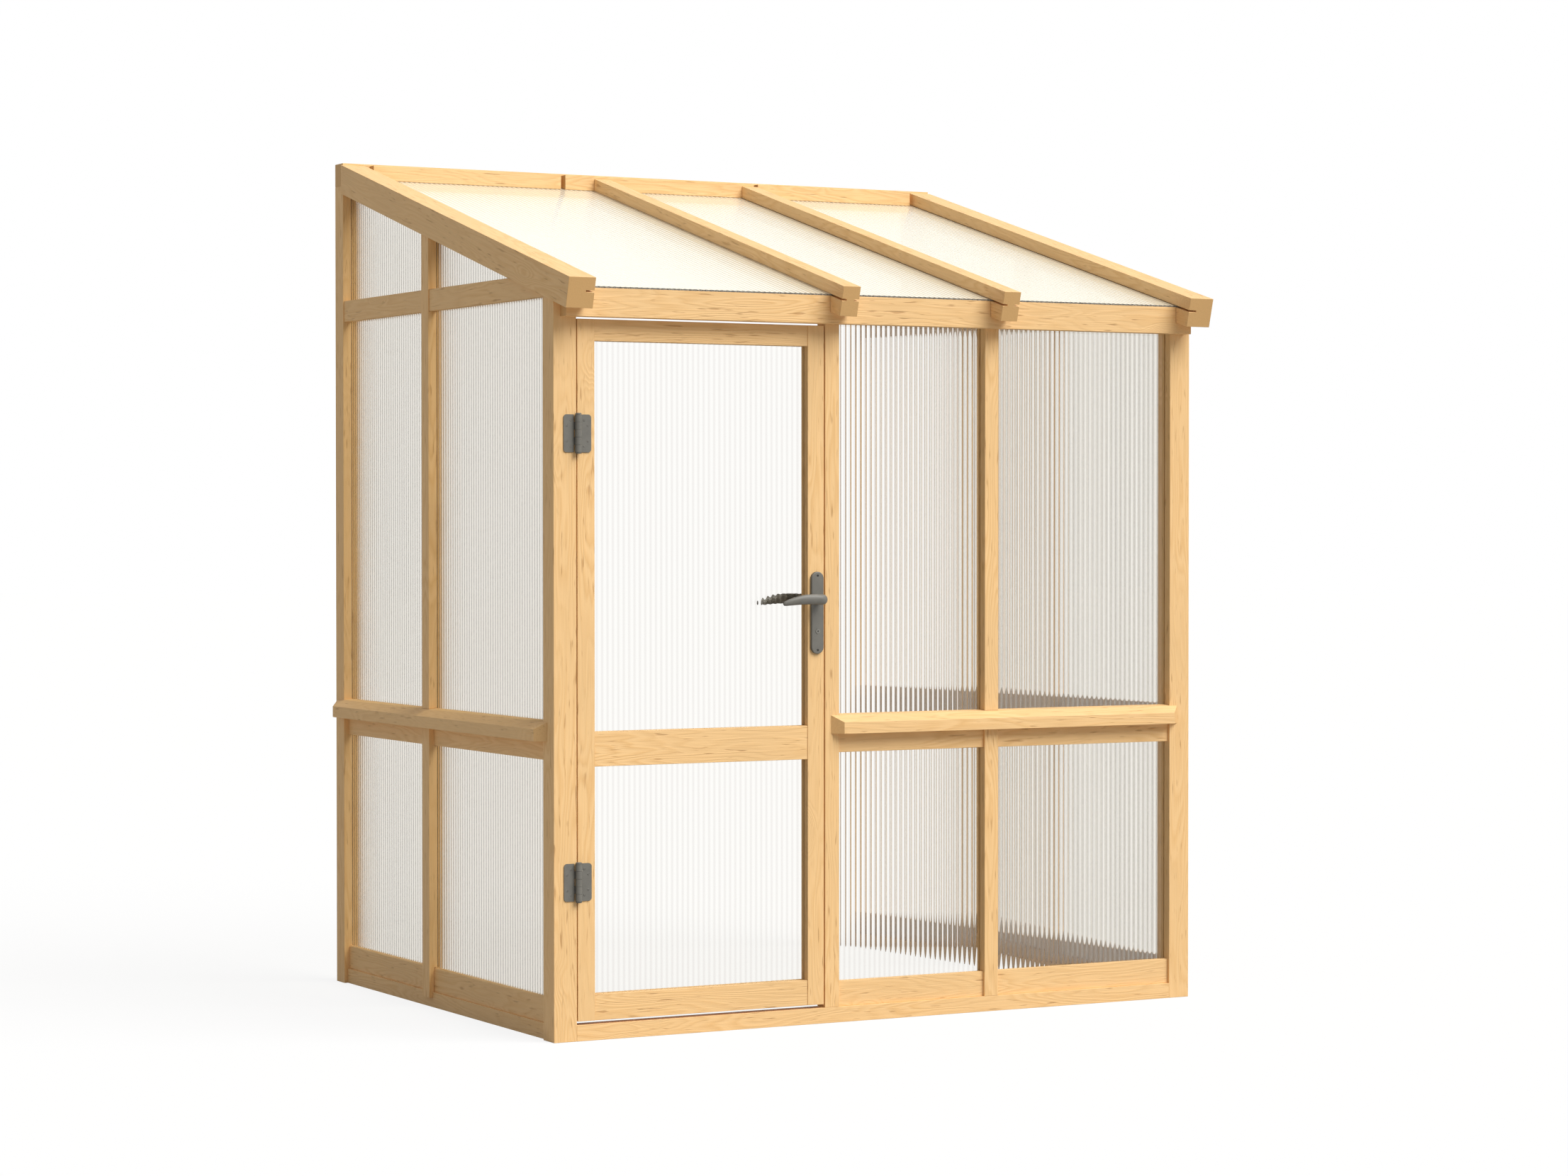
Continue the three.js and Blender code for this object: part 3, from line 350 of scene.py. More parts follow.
def clear_polycarbonate(name, ahead, aslant, haze, cast, bends):
    """Clear plastic. Ahead and aslant are its tints there, each for a rib's crest and valley.

    Haze is how milky it turns aslant, and cast is that haze's colour. A sheet that bends works as
    a row of long weak lenses, and one that doesn't is a thin film with a soft mirror on it.
    """
    material, tree = new_material(name)
    rib = add(tree, "ShaderNodeAttribute", attribute_name="rib")
    valley = add(tree, "ShaderNodeMapRange",
                 [("Value", rib.outputs["Fac"]), ("From Min", VALLEY_STARTS), ("From Max", 1.0),
                  ("To Min", 0.0), ("To Max", 1.0)], interpolation_type="SMOOTHSTEP")
    view = add(tree, "ShaderNodeLayerWeight", [("Blend", 0.5)])
    slant = add(tree, "ShaderNodeMapRange",
                [("Value", view.outputs["Facing"]), ("From Min", SLANT_STARTS),
                 ("From Max", SLANT_ENDS), ("To Min", 0.0), ("To Max", 1.0)])
    tints = [add(tree, "ShaderNodeMix",
                 [("Factor", valley), (COLOUR_A, linear(crest)), (COLOUR_B, linear(low))],
                 data_type="RGBA").outputs[MIXED_COLOUR]
             for crest, low in (ahead, aslant)]
    tint = add(tree, "ShaderNodeMix",
               [("Factor", slant), (COLOUR_A, tints[0]), (COLOUR_B, tints[1])],
               data_type="RGBA").outputs[MIXED_COLOUR]
    if bends:
        clear = add(tree, "ShaderNodeBsdfPrincipled",
                    [("Base Color", tint), ("Roughness", 0.0), ("IOR", PLASTIC_IOR),
                     ("Transmission Weight", 1.0)])
    else:
        straight = add(tree, "ShaderNodeBsdfTransparent", [("Color", tint)])
        mirror = add(tree, "ShaderNodeBsdfAnisotropic",
                     [("Color", linear("ffffff")), ("Roughness", MIRROR_ROUGHNESS)])
        steep = add(tree, "ShaderNodeMath", [(0, view.outputs["Facing"]), (1, MIRROR_RISE)],
                    operation="POWER")
        share = add(tree, "ShaderNodeMapRange",
                    [("Value", steep), ("To Min", MIRROR_AHEAD), ("To Max", 1.0)])
        clear = add(tree, "ShaderNodeMixShader", [(0, share), (1, straight), (2, mirror)])
    milky = add(tree, "ShaderNodeBsdfPrincipled",
                [("Base Color", linear(cast)), ("Roughness", MILKY_ROUGHNESS),
                 ("IOR", PLASTIC_IOR)])
    cloud = add(tree, "ShaderNodeMath", [(0, slant), (1, haze)], operation="MULTIPLY")
    skin = add(tree, "ShaderNodeMixShader", [(0, cloud), (1, clear), (2, milky)])
    # light that falls through the sheet is dimmed, not stopped
    passing = add(tree, "ShaderNodeBsdfTransparent", [("Color", linear(DIMMED))])
    path = add(tree, "ShaderNodeLightPath")
    soft = add(tree, "ShaderNodeMath", [(0, path.outputs["Is Diffuse Ray"]), (1, float(bends))],
               operation="MULTIPLY")
    through = add(tree, "ShaderNodeMath", [(0, path.outputs["Is Shadow Ray"]), (1, soft)],
                  operation="MAXIMUM")
    both = add(tree, "ShaderNodeMixShader", [(0, through), (1, skin), (2, passing)])
    add(tree, "ShaderNodeOutputMaterial", [("Surface", both)])
    return material


# The walls break up what stands behind them into spindles and thin lines, and grey a little aslant.
wall_plastic = clear_polycarbonate(
    "clear polycarbonate, wall sheets", ahead=("fefdfa", "f3f1ee"), aslant=("ddd5c7", "8e8b81"),
    haze=0.08, cast="f2e3c6", bends=True)
# The roof is seen at a flat angle, so it looks like pale frosted film.
roof_plastic = clear_polycarbonate(
    "clear polycarbonate, roof sheets", ahead=("fefdfa", "f3f1ee"), aslant=("fefdfa", "fefdfa"),
    haze=0.60, cast="fffbe9", bends=False)

# The saw left the sheets' ends rough, so they look like a dark grey line with pale chips in it.
CHIP_CELLS = 260.0                      # per metre: chips of 1 to 4 mm
CHIP_LOW, CHIP_HIGH = 0.35, 0.65        # levels of the noise from a gap to a chip
SAWN_DARK, SAWN_PALE, SAWN_ROUGHNESS = "4a4843", "a8a59c", 0.5
sawn_edge, tree = new_material("clear polycarbonate, sawn edge")
surface = add(tree, "ShaderNodeTexCoord")
chips = add(tree, "ShaderNodeTexNoise",
            [("Vector", surface.outputs["Object"]), ("Scale", CHIP_CELLS), ("Detail", 3.0)])
paleness = add(tree, "ShaderNodeMapRange",
               [("Value", chips), ("From Min", CHIP_LOW), ("From Max", CHIP_HIGH),
                ("To Min", 0.0), ("To Max", 1.0)])
grey = add(tree, "ShaderNodeMix",
           [("Factor", paleness), (COLOUR_A, linear(SAWN_DARK)), (COLOUR_B, linear(SAWN_PALE))],
           data_type="RGBA")
skin = add(tree, "ShaderNodeBsdfPrincipled",
           [("Base Color", grey.outputs[MIXED_COLOUR]), ("Roughness", SAWN_ROUGHNESS)])
add(tree, "ShaderNodeOutputMaterial", [("Surface", skin)])


def new_growth(name, inputs, output):
    """A Geometry Nodes tree with these named inputs, and its inputs as seen from inside."""
    group = bpy.data.node_groups.new(name, "GeometryNodeTree")
    for label, kind, value in inputs:
        socket = group.interface.new_socket(label, in_out="INPUT", socket_type="NodeSocket" + kind)
        if value is not None:
            socket.default_value = value
    group.interface.new_socket(output, in_out="OUTPUT", socket_type="NodeSocketGeometry")
    return group, add(group, "NodeGroupInput").outputs


ribbing, given = new_growth("ribbed sheet", (
    ("Corner", "Vector", (0, 0, 0)), ("Across", "Vector", (1, 0, 0)),
    ("Through", "Vector", (0, 0.0045, 0)), ("Near length", "Vector", (0, 0, 1)),
    ("Far length", "Vector", (0, 0, 1)), ("Steps", "Int", 64), ("Ribs", "Float", 4.0),
    ("Outer depth share", "Float", 0.15), ("Inner depth share", "Float", 0.07),
    ("Face", "Material", None), ("Edge", "Material", None)), "Sheet")
SEAM = 1e-5
END_SQUARENESS = 0.5
# one end of the sheet as a strip of faces: X goes across it, and Y from outside to inside
end = add(ribbing, "GeometryNodeMeshGrid", [("Size X", 1.0), ("Size Y", 1.0),
                                            ("Vertices X", given["Steps"]), ("Vertices Y", 2)])
drawn_out = add(ribbing, "GeometryNodeExtrudeMesh",
                [("Mesh", end), ("Offset", (0, 0, 1.0)), ("Offset Scale", 1.0),
                 ("Individual", False)], mode="FACES")
near_end = add(ribbing, "GeometryNodeFlipFaces", [("Mesh", end)])
joined = add(ribbing, "GeometryNodeJoinGeometry")
for part in (drawn_out, near_end):
    ribbing.links.new(part.outputs[0], joined.inputs[0])
closed = add(ribbing, "GeometryNodeMergeByDistance", [("Geometry", joined), ("Distance", SEAM)])
at = add(ribbing, "ShaderNodeSeparateXYZ", [(0, add(ribbing, "GeometryNodeInputPosition"))])
share_across = add(ribbing, "ShaderNodeMath", [(0, at.outputs["X"]), (1, 0.5)], operation="ADD")
share_through = add(ribbing, "ShaderNodeMath", [(0, at.outputs["Y"]), (1, 0.5)], operation="ADD")
ribs_passed = add(ribbing, "ShaderNodeMath", [(0, share_across), (1, given["Ribs"])],
                  operation="MULTIPLY")
angle = add(ribbing, "ShaderNodeMath", [(0, ribs_passed), (1, math.tau)], operation="MULTIPLY")
wave = add(ribbing, "ShaderNodeMath", [(0, angle)], operation="COSINE")
fall = add(ribbing, "ShaderNodeMapRange", [("Value", wave), ("From Min", 1.0), ("From Max", -1.0),
                                           ("To Min", 0.0), ("To Max", 1.0)])
# between the ribs the outer face goes in and the inner face comes out
inner = add(ribbing, "ShaderNodeMath", [(0, given["Inner depth share"]), (1, -1.0)],
            operation="MULTIPLY")
deepest = add(ribbing, "ShaderNodeMapRange",
              [("Value", share_through), ("To Min", given["Outer depth share"]),
               ("To Max", inner)])
inset = add(ribbing, "ShaderNodeMath", [(0, fall), (1, deepest)], operation="MULTIPLY")
depth = add(ribbing, "ShaderNodeMath", [(0, share_through), (1, inset)], operation="ADD")
# a Mix node's sockets for vectors: A, B and the result
VECTOR_A, VECTOR_B, MIXED_VECTOR = 4, 5, 1
length = add(ribbing, "ShaderNodeMix",
             [("Factor", share_across), (VECTOR_A, given["Near length"]),
              (VECTOR_B, given["Far length"])], data_type="VECTOR")
moved = given["Corner"]
for step, share in ((given["Across"], share_across), (given["Through"], depth),
                    (length.outputs[MIXED_VECTOR], at.outputs["Z"])):
    scaled = add(ribbing, "ShaderNodeVectorMath", [(0, step), ("Scale", share)], operation="SCALE")
    moved = add(ribbing, "ShaderNodeVectorMath", [(0, moved), (1, scaled)], operation="ADD")
kept = add(ribbing, "GeometryNodeStoreNamedAttribute",
           [("Geometry", closed), ("Name", "rib"), ("Value", fall)],
           data_type="FLOAT", domain="POINT")
placed = add(ribbing, "GeometryNodeSetPosition", [("Geometry", kept), ("Position", moved)])
# the sawn ends are the faces that look along the ribs, either way
along = add(ribbing, "ShaderNodeVectorMath", [(0, given["Near length"])], operation="NORMALIZE")
outwards = add(ribbing, "GeometryNodeInputNormal")
leaning = add(ribbing, "ShaderNodeVectorMath", [(0, outwards), (1, along)],
              operation="DOT_PRODUCT")
squareness = add(ribbing, "ShaderNodeMath", [(0, leaning.outputs["Value"])],
                 operation="ABSOLUTE")
sawn = add(ribbing, "FunctionNodeCompare", [("A", squareness), ("B", END_SQUARENESS)],
           operation="GREATER_THAN", data_type="FLOAT")
real = add(ribbing, "GeometryNodeRealizeInstances", [("Geometry", placed)])
faced = add(ribbing, "GeometryNodeSetMaterial", [("Geometry", real), ("Material", given["Face"])])
edged = add(ribbing, "GeometryNodeSetMaterial",
            [("Geometry", faced), ("Selection", sawn), ("Material", given["Edge"])])
add(ribbing, "NodeGroupOutput", [(0, edged)])

GROWN_SHARP = math.radians(30)


def grown(name, group, values, body, points=()):
    """The mesh that a tree gives with these inputs and points, as a plain object on a body."""
    holder = bpy.data.objects.new(name, bpy.data.meshes.new(name + "_start"))
    start = holder.data
    start.from_pydata(points, [], [])
    bpy.context.scene.collection.objects.link(holder)
    modifier = holder.modifiers.new("growth", "NODES")
    modifier.node_group = group
    for item in group.interface.items_tree:
        if item.in_out == "INPUT" and item.name in values:
            modifier[item.identifier] = values[item.name]
    seen = holder.evaluated_get(bpy.context.evaluated_depsgraph_get())
    mesh = bpy.data.meshes.new_from_object(seen)
    holder.modifiers.clear()
    holder.data = mesh
    bpy.data.meshes.remove(start)
    mesh.name = name
    mesh.shade_smooth()
    mesh.set_sharp_from_angle(angle=GROWN_SHARP)
    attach(holder, body)
    return holder


def furthest(points, directions, signs):
    """The point that lies furthest along these directions, or against one where its sign is -1."""
    return max(points, key=lambda p: sum(s * p.dot(d) for s, d in zip(signs, directions)))


# each sheet's directions: across the ribs, into the greenhouse, and along the ribs
UP_THE_ROOF = Vector((0, math.cos(ROOF_PITCH), math.sin(ROOF_PITCH)))
INTO_THE_ROOF = Vector((0, math.sin(ROOF_PITCH), -math.cos(ROOF_PITCH)))
FRONT = (Vector((1, 0, 0)), Vector((0, 1, 0)), Vector((0, 0, 1)))
LEFT = (Vector((0, -1, 0)), Vector((1, 0, 0)), Vector((0, 0, 1)))
RIGHT = (Vector((0, 1, 0)), Vector((-1, 0, 0)), Vector((0, 0, 1)))
ROOF = (Vector((1, 0, 0)), INTO_THE_ROOF, UP_THE_ROOF)
SHEETS = {
    "wall_sheet_front_mid": FRONT, "wall_sheet_front_right": FRONT,
    "wall_sheet_left_front": LEFT, "wall_sheet_left_back": LEFT,
    "wall_sheet_right_front": RIGHT, "wall_sheet_right_back": RIGHT,
    "roof_sheet_left": ROOF, "roof_sheet_mid": ROOF, "roof_sheet_right": ROOF,
    "door_sheet_lower": FRONT, "door_sheet_upper": FRONT,
}
for node, directions in SHEETS.items():
    points = [v.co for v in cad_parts[node].data.vertices]
    near, far, deep, near_top, far_top = (
        furthest(points, directions, signs)
        for signs in ((-1, -1, -1), (1, -1, -1), (-1, 1, -1), (-1, -1, 1), (1, -1, 1)))
    wide, thick = (far - near).length, (deep - near).length
    ribs = wide / RIB_PITCH
    ribbed = grown(node + "_ribbed", ribbing, {
        "Corner": near, "Across": far - near, "Through": deep - near,
        "Near length": near_top - near, "Far length": far_top - far,
        "Steps": int(ribs * STEPS_PER_RIB) + 1, "Ribs": ribs,
        "Outer depth share": OUTER_RIB / thick, "Inner depth share": INNER_RIB / thick,
        "Face": roof_plastic if node.startswith("roof") else wall_plastic, "Edge": sawn_edge,
    }, "door" if node.startswith("door") else "frame")
    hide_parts(node)


# Hinges: two pressed steel butt hinges under a thin grey powder coat, each with a loose pin. Their
# leaves lie on the wood, and four countersunk screws with crossed slots hold each leaf.

WEAR_CELLS = 45.0               # per metre: cloudy patches of about 20 mm
WEAR_LOW, WEAR_HIGH = 0.3, 0.7  # levels of their noise
TONE_SPREAD = 0.08              # share by which they are darker or lighter
GRIT_SPREAD = 0.06              # by which the grit changes the roughness
GRIT_RELIEF = 0.0002


def coated_metal(name, colour, roughness, metallic, grit):
    """Metal under a thin coat, whose fine grit breaks up the highlight softly.

    Grit is the number of grains on a metre. They are drawn coarser than real so that they show.
    """
    material, tree = new_material(name)
    surface = add(tree, "ShaderNodeTexCoord").outputs["Object"]
    speck = add(tree, "ShaderNodeTexNoise", [("Vector", surface), ("Scale", grit), ("Detail", 3.0)])
    wear = add(tree, "ShaderNodeTexNoise",
               [("Vector", surface), ("Scale", WEAR_CELLS), ("Detail", 2.0)])
    tone = add(tree, "ShaderNodeMapRange",
               [("Value", wear), ("From Min", WEAR_LOW), ("From Max", WEAR_HIGH),
                ("To Min", 1 - TONE_SPREAD), ("To Max", 1 + TONE_SPREAD)])
    paint = add(tree, "ShaderNodeMix",
                [("Factor", 1.0), (COLOUR_A, linear(colour)), (COLOUR_B, tone)],
                data_type="RGBA", blend_type="MULTIPLY")
    rough = add(tree, "ShaderNodeMapRange",
                [("Value", speck), ("To Min", roughness - GRIT_SPREAD),
                 ("To Max", roughness + GRIT_SPREAD)])
    bump = add(tree, "ShaderNodeBump",
               [("Height", speck), ("Strength", 0.12), ("Distance", GRIT_RELIEF)])
    skin = add(tree, "ShaderNodeBsdfPrincipled",
               [("Base Color", paint.outputs[MIXED_COLOUR]), ("Roughness", rough),
                ("Metallic", metallic), ("Normal", bump)])
    add(tree, "ShaderNodeOutputMaterial", [("Surface", skin)])
    return material


# A matt warm grey, with no glint of metal.
grey_coating = coated_metal("powder-coated steel, matt grey", "6d6b65", roughness=0.46,
                            metallic=0.0, grit=1400.0)
# Dull metal that still glints a little in the slots.
screw_steel = coated_metal("zinc-plated steel, dulled", "7a7771", roughness=0.40,
                           metallic=1.0, grit=900.0)

LEAF_ARRIS, PIN_ARRIS = 0.0003, 0.0002
EASED_LENGTH = 0.004        # shorter edges are left sharp on the hardware
for place in ("lower", "upper"):
    for part, arris, body in (("frame_leaf", LEAF_ARRIS, "frame"), ("pin", PIN_ARRIS, "frame"),
                              ("door_leaf", LEAF_ARRIS, "door")):
        finished("hinge_%s_%s" % (place, part), arris, grey_coating, body,
                 EASED_LENGTH)

# A screw head: a low cone with two slots cut across it, set on each point and turned at random.
HEAD_SIDES = 24
HEAD_TAPER = 0.74       # share of the head's radius that its top has
SLOT_REACH = 1.05       # the slots run out past the head's edge, as a share of its radius
SLOT_LIFT = 0.75        # how far up the cutter lies, as a share of the head's height
RANDOM_LEAST, RANDOM_MOST, RANDOM_FLOAT = 2, 3, 1       # a Random Value node's float sockets
screw_heads, given = new_growth("screw heads", (
    ("Points", "Geometry", None), ("Facing", "Vector", (0, -1, 0)),
    ("Head radius", "Float", 0.0034), ("Head height", "Float", 0.0009),
    ("Slot width", "Float", 0.0008), ("Seed", "Int", 5), ("Metal", "Material", None)), "Screws")
rim = add(screw_heads, "ShaderNodeMath", [(0, given["Head radius"]), (1, HEAD_TAPER)],
          operation="MULTIPLY")
cone = add(screw_heads, "GeometryNodeMeshCone",
           [("Vertices", HEAD_SIDES), ("Radius Top", rim), ("Radius Bottom", given["Head radius"]),
            ("Depth", given["Head height"])])
reach = add(screw_heads, "ShaderNodeMath", [(0, given["Head radius"]), (1, SLOT_REACH)],
            operation="MULTIPLY")
cut = add(screw_heads, "ShaderNodeCombineXYZ",
          [("X", reach), ("Y", given["Slot width"]), ("Z", given["Head height"])])
cutter = add(screw_heads, "GeometryNodeMeshCube", [("Size", cut)])
lift = add(screw_heads, "ShaderNodeMath", [(0, given["Head height"]), (1, SLOT_LIFT)],
           operation="MULTIPLY")
above = add(screw_heads, "ShaderNodeCombineXYZ", [("Z", lift)])
head = add(screw_heads, "GeometryNodeMeshBoolean", [("Mesh 1", cone)],
           operation="DIFFERENCE", solver="EXACT")
for spin in (0.0, math.pi / 2):
    slot = add(screw_heads, "GeometryNodeTransform",
               [("Geometry", cutter), ("Translation", above), ("Rotation", (0, 0, spin))])
    screw_heads.links.new(slot.outputs[0], head.inputs["Mesh 2"])
aim = add(screw_heads, "FunctionNodeAlignRotationToVector", [("Vector", given["Facing"])], axis="Z")
chance = add(screw_heads, "FunctionNodeRandomValue",
             [("Seed", given["Seed"]), (RANDOM_LEAST, 0.0), (RANDOM_MOST, math.pi / 2)],
             data_type="FLOAT")
spun = add(screw_heads, "ShaderNodeCombineXYZ", [("Z", chance.outputs[RANDOM_FLOAT])])
turned = add(screw_heads, "FunctionNodeRotateRotation", [("Rotation", aim), ("Rotate By", spun)],
             rotation_space="LOCAL")
set_on = add(screw_heads, "GeometryNodeInstanceOnPoints",
             [("Points", given["Points"]), ("Instance", head), ("Rotation", turned)])
real = add(screw_heads, "GeometryNodeRealizeInstances", [("Geometry", set_on)])
plated = add(screw_heads, "GeometryNodeSetMaterial",
             [("Geometry", real), ("Material", given["Metal"])])
add(screw_heads, "NodeGroupOutput", [(0, plated)])


def middle_of(node):
    """The middle of a CAD node's box."""
    low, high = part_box(node)
    return (low + high) / 2


LEAF_THICKNESS = 0.0025
LEAF_SCREW_RADIUS = 0.0030
# each leaf's screws: how far from the pin, and how far above its middle
LEAF_SCREWS = ((0.0197, 0.034), (0.0305, 0.0204), (0.0305, -0.0204), (0.0197, -0.034))
pins = [middle_of("hinge_%s_pin" % place) for place in ("lower", "upper")]
leaf_face_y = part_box("hinge_lower_frame_leaf")[1].y - LEAF_THICKNESS
for side, body, seed in ((-1, "frame", 4), (1, "door", 6)):
    heads = grown("hinge_screws_" + body, screw_heads,
                  {"Metal": screw_steel, "Head radius": LEAF_SCREW_RADIUS, "Seed": seed}, body,
                  [(pin.x + side * out, leaf_face_y, pin.z + up)
                   for pin in pins for out, up in LEAF_SCREWS])


# Door handle: a cast lever on each side of the door, on long pressed back plates under the same
# grey coat. Two screws with crossed slots hold each plate to the lock stile.

PLATE_ARRIS = 0.0006
HEADS_SUNK = 0.0002             # how far the screw heads are let into a plate
PLATE_SCREW_IN = 0.0105         # from the plate's ends
PLATE_SCREW_RADIUS, PLATE_SCREW_SLOT = 0.0034, 0.0011
# Nearly black and half shiny. The dark colour is painted shade for the sunk holes and slots, so
# that the heads show against the plate as dark dots.
shade_dark_screw_steel = coated_metal("screw steel, near black as painted hole shade", "3d3b38", roughness=0.40, metallic=0.6,
                           grit=900.0)
for node in ("handle_plate_outer", "handle_plate_inner"):
    finished(node, PLATE_ARRIS, grey_coating, "door", EASED_LENGTH)
for side, outwards in (("outer", -1), ("inner", 1)):
    low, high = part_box("handle_plate_" + side)
    face_y = low.y if outwards < 0 else high.y
    heads = grown("handle_screws_" + side, screw_heads,
                  {"Metal": shade_dark_screw_steel, "Facing": (0, outwards, 0),
                   "Head radius": PLATE_SCREW_RADIUS, "Slot width": PLATE_SCREW_SLOT, "Seed": 11},
                  "door", [((low.x + high.x) / 2, face_y - outwards * HEADS_SUNK, z)
                           for z in (low.z + PLATE_SCREW_IN, high.z - PLATE_SCREW_IN)])

# The lever is an oval bar: out of the plate, round an elbow, and along a grip that droops to its
# tip. A row holds shares of: length along, reach outwards, droop, half height, half thickness.
LEVER_LONG, LEVER_REACH, LEVER_DROOP = 0.127, 0.042, 0.013
LEVER_HALF_HEIGHT, LEVER_HALF_THICKNESS = 0.0135, 0.008
LEVER_ROWS = [
    (0, 0, 0, 0.80, 1.30), (0, 0.30, 0, 0.80, 1.30), (0, 0.55, 0, 0.90, 1.40),
    (0.012, 0.76, 0, 1.0, 1.45), (0.05, 0.91, 0, 1.04, 1.42), (0.12, 0.985, -0.02, 1.05, 1.28),
    (0.22, 1.01, -0.05, 1.04, 1.12), (0.34, 1.03, -0.06, 1.02, 1.02),
    (0.48, 1.03, -0.04, 0.97, 0.96), (0.62, 1.02, 0.10, 0.89, 0.90),
    (0.75, 0.99, 0.30, 0.78, 0.82), (0.86, 0.955, 0.52, 0.64, 0.70),
    (0.94, 0.92, 0.70, 0.52, 0.58), (0.982, 0.90, 0.80, 0.36, 0.42),
    (1.0, 0.89, 0.84, 0.10, 0.14),
]
RINGS_PER_ROW, LEVER_SIDES = 4, 32
CAST_SHARP = math.radians(50)


def between(rows, step):
    """The row at a step that may lie between two rows, on a smooth curve through all of them."""
    i = min(int(step), len(rows) - 2)
    f = step - i
    before, after = rows[max(i - 1, 0)], rows[min(i + 2, len(rows) - 1)]
    return [0.5 * (2 * b + (c - a) * f + (2 * a - 5 * b + 4 * c - d) * f ** 2
                   + (3 * b - a - 3 * c + d) * f ** 3)
            for a, b, c, d in zip(before, rows[i], rows[i + 1], after)]


lever_axis = middle_of("spindle")
steps = (len(LEVER_ROWS) - 1) * RINGS_PER_ROW
rows = [between(LEVER_ROWS, k / RINGS_PER_ROW) for k in range(steps + 1)]
for side, outwards in (("outer", -1), ("inner", 1)):
    low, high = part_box("lever_" + side)
    root_y = high.y if outwards < 0 else low.y          # where the lever leaves its plate
    middles = [Vector((lever_axis.x - along * LEVER_LONG, root_y + outwards * out * LEVER_REACH,
                       lever_axis.z - droop * LEVER_DROOP)) for along, out, droop, _, _ in rows]
    shape = bmesh.new()
    rings = []
    for k, middle in enumerate(middles):
        ahead = middles[min(k + 1, steps)] - middles[max(k - 1, 0)]
        ahead.z = 0
        across = Vector((0, 0, 1)).cross(ahead.normalized())
        tall, thick = rows[k][3] * LEVER_HALF_HEIGHT, rows[k][4] * LEVER_HALF_THICKNESS
        ring = []
        for n in range(LEVER_SIDES):
            turn = math.tau * n / LEVER_SIDES
            offset = across * (thick * math.cos(turn))
            ring.append(shape.verts.new(middle + offset + Vector((0, 0, tall * math.sin(turn)))))
        rings.append(ring)
    for ring, following in zip(rings, rings[1:]):
        for n in range(LEVER_SIDES):
            m = (n + 1) % LEVER_SIDES
            shape.faces.new((ring[n], ring[m], following[m], following[n]))
    for end in (rings[0], rings[-1]):
        shape.faces.new(end)
    bmesh.ops.recalc_face_normals(shape, faces=shape.faces)
    mesh = bpy.data.meshes.new("lever_%s_cast" % side)
    shape.to_mesh(mesh)
    shape.free()
    mesh.shade_smooth()
    mesh.set_sharp_from_angle(angle=CAST_SHARP)
    mesh.materials.append(grey_coating)
    lever = bpy.data.objects.new(mesh.name, mesh)
    bpy.context.scene.collection.objects.link(lever)
    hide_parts("lever_" + side)
    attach(lever, "lever")


# Lock: a latch case let into the lock stile, with its bolt, the square spindle of the levers and a
# key cylinder. The strike plate is let into the door post and held by two screws.

# Bright plated steel, brushed to a soft shine.
bare_steel = coated_metal("zinc-plated steel, brushed", "a9a9a6", roughness=0.35, metallic=1.0,
                          grit=900.0)
# A tired yellowish grey, a little shinier than the plate round it.
dull_nickel = coated_metal("nickel-plated brass, dulled", "7b7973", roughness=0.42, metallic=1.0,
                           grit=900.0)
THICK_ARRIS, THIN_ARRIS = 0.0003, 0.0002
for node, arris, metal, body in (
    ("spindle", THICK_ARRIS, bare_steel, "lever"), ("latch_case", THICK_ARRIS, bare_steel, "door"),
    ("lock_cylinder", THIN_ARRIS, dull_nickel, "door"),
    ("latch_bolt", THICK_ARRIS, bare_steel, "latch"),
    ("strike_plate", THIN_ARRIS, bare_steel, "frame"),
):
    finished(node, arris, metal, body, EASED_LENGTH)
STRIKE_SCREW_UP = 0.035         # above and below the strike plate's middle
STRIKE_SCREW_RADIUS, STRIKE_SCREW_HEIGHT = 0.0034, 0.0007
strike = middle_of("strike_plate")
strike_face_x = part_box("strike_plate")[0].x + HEADS_SUNK
heads = grown("strike_screws", screw_heads,
              {"Metal": screw_steel, "Facing": (-1, 0, 0), "Head radius": STRIKE_SCREW_RADIUS,
               "Head height": STRIKE_SCREW_HEIGHT, "Seed": 3}, "frame",
              [(strike_face_x, strike.y, strike.z + up)
               for up in (-STRIKE_SCREW_UP, STRIKE_SCREW_UP)])


# Floor: a wide white floor that keeps the greenhouse's faint shadow. It shines a little for the
# eye, so that it meets the white sky without an edge, and throws less light on the object.

SEEN_FLOOR, LIT_FLOOR = "f4f4f4", "a9a7a3"      # to the eye, and for the light that it throws up
FLOOR_SHINE = 0.86
FLOOR_CORNERS = [(-40, -40, 0), (40, -40, 0), (40, 60, 0), (-40, 60, 0)]


def seen_directly(tree):
    """1 for what the camera sees, also in metal and through plastic, and 0 for all other light."""
    path = add(tree, "ShaderNodeLightPath")
    seen = path.outputs["Is Camera Ray"]
    for kind in ("Is Glossy Ray", "Is Transmission Ray"):
        seen = add(tree, "ShaderNodeMath", [(0, seen), (1, path.outputs[kind])],
                   operation="MAXIMUM")
    return seen


floor_mesh = bpy.data.meshes.new("floor")
floor_mesh.from_pydata(FLOOR_CORNERS, [], [(0, 1, 2, 3)])
floor = bpy.data.objects.new("floor", floor_mesh)
bpy.context.scene.collection.objects.link(floor)
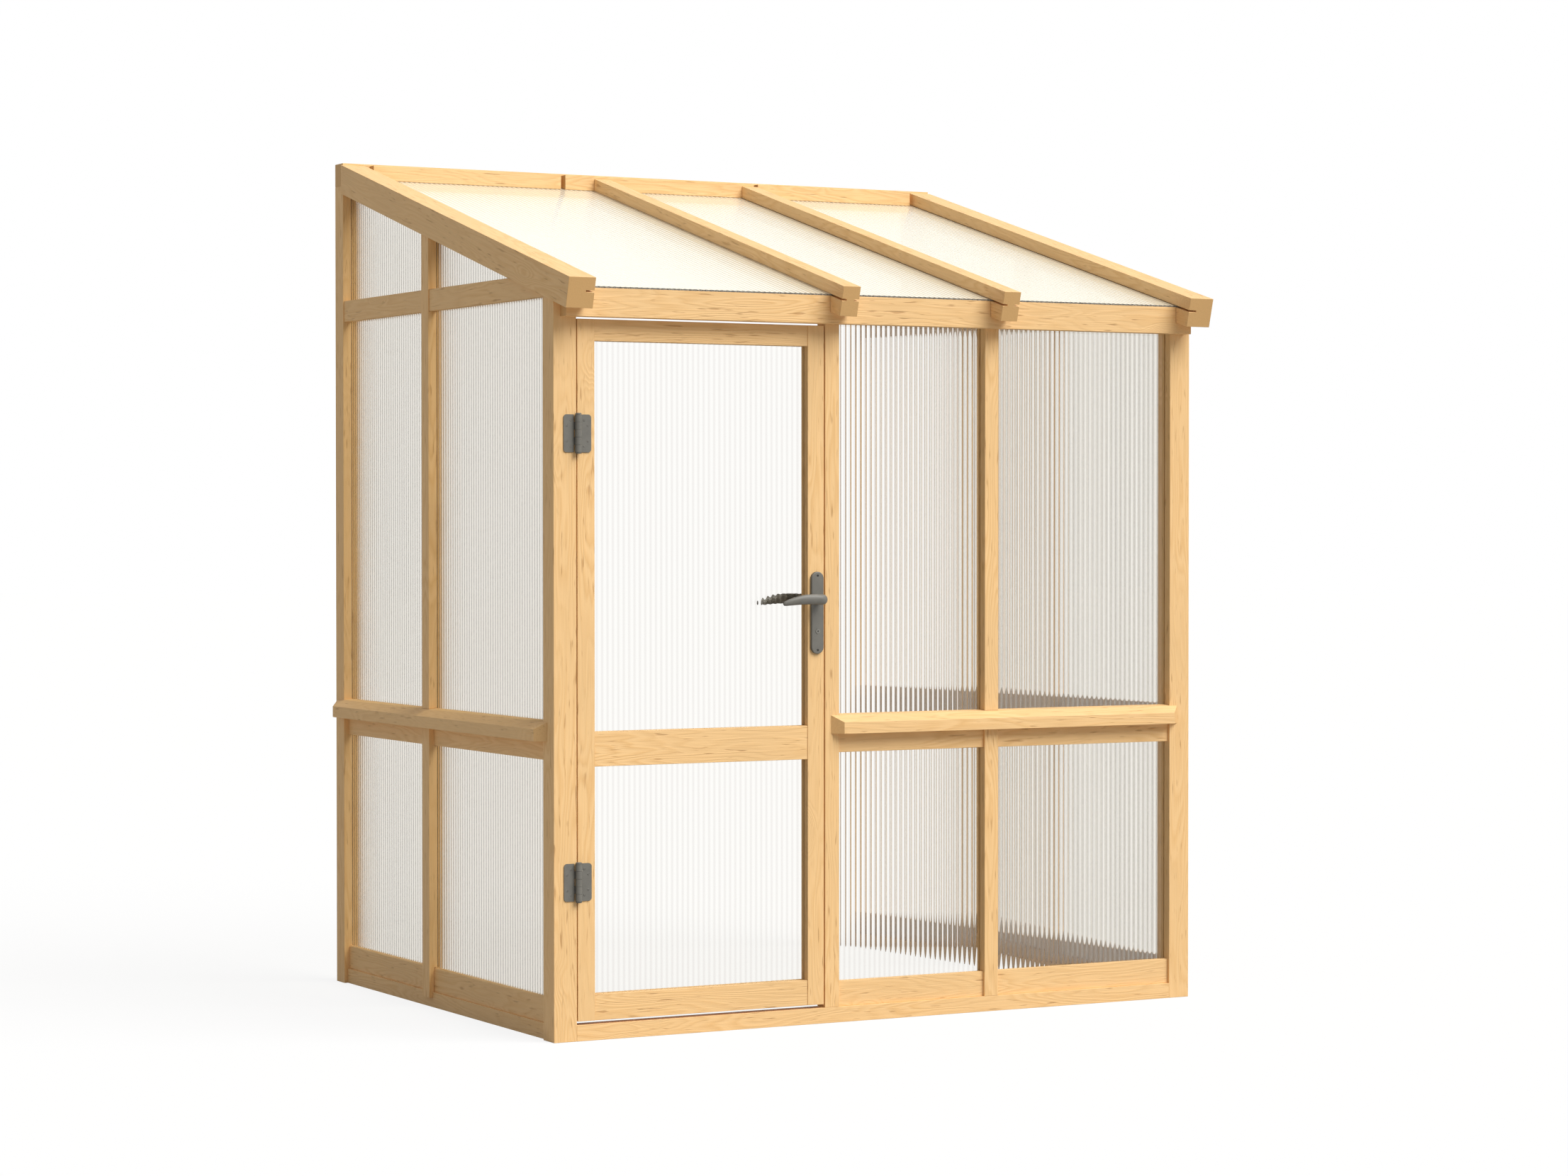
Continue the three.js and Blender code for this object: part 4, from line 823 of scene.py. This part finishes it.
# Matt white paint, evenly lit.
white_floor, tree = new_material("white painted floor")
seen = seen_directly(tree)
share = add(tree, "ShaderNodeMath", [(0, seen), (1, FLOOR_SHINE)], operation="MULTIPLY")
tint = add(tree, "ShaderNodeMix",
           [("Factor", seen), (COLOUR_A, linear(LIT_FLOOR)), (COLOUR_B, linear(SEEN_FLOOR))],
           data_type="RGBA")
paint = add(tree, "ShaderNodeBsdfDiffuse", [("Color", tint.outputs[MIXED_COLOUR])])
shine = add(tree, "ShaderNodeEmission", [("Color", linear("ffffff")), ("Strength", 1.0)])
mixed = add(tree, "ShaderNodeMixShader", [(0, share), (1, paint), (2, shine)])
add(tree, "ShaderNodeOutputMaterial", [("Surface", mixed)])
floor_mesh.materials.append(white_floor)


# Light: a white sky, dimmer as a light than it looks, and one broad soft lamp that shines from
# high at the front right.

SKY_LIGHT = 0.325
LAMP_STRENGTH, LAMP_SPREAD = 3.4, math.radians(45)
LAMP_COLOUR = (1.0, 0.985, 0.95)
LAMP_RAYS = Vector((-0.364, 0.573, -0.736))
sky = bpy.data.worlds.new("white sky")
bpy.context.scene.world = sky
sky.use_nodes = True
tree = sky.node_tree
tree.nodes.clear()
level = add(tree, "ShaderNodeMapRange",
            [("Value", seen_directly(tree)), ("To Min", SKY_LIGHT), ("To Max", 1.0)])
air = add(tree, "ShaderNodeBackground", [("Color", linear("ffffff")), ("Strength", level)])
add(tree, "ShaderNodeOutputWorld", [("Surface", air)])

lamp_data = bpy.data.lights.new("broad soft lamp", "SUN")
lamp_data.energy = LAMP_STRENGTH
lamp_data.angle = LAMP_SPREAD
lamp_data.color = LAMP_COLOUR
lamp = bpy.data.objects.new("broad soft lamp", lamp_data)
bpy.context.scene.collection.objects.link(lamp)
lamp.rotation_euler = LAMP_RAYS.to_track_quat("-Z", "Y").to_euler()


# Camera: a long lens at chest height, well back to the left of the front.

SENSOR_WIDTH, LENS = 36.0, 85.28            # millimetres
CAMERA_PLACE = (-5.1024, -9.4544, 1.3503)
CAMERA_TURN = (89.0225, 0.01, -28.6615)     # degrees
FAR_ENOUGH = 200.0                          # past the floor's far edge
camera_data = bpy.data.cameras.new("camera")
camera_data.sensor_fit = "HORIZONTAL"
camera_data.sensor_width = SENSOR_WIDTH
camera_data.lens = LENS
camera_data.clip_end = FAR_ENOUGH
camera = bpy.data.objects.new("camera", camera_data)
bpy.context.scene.collection.objects.link(camera)
camera.location = CAMERA_PLACE
camera.rotation_euler = [math.radians(turn) for turn in CAMERA_TURN]
bpy.context.scene.camera = camera
bpy.context.scene.view_settings.view_transform = "Standard"
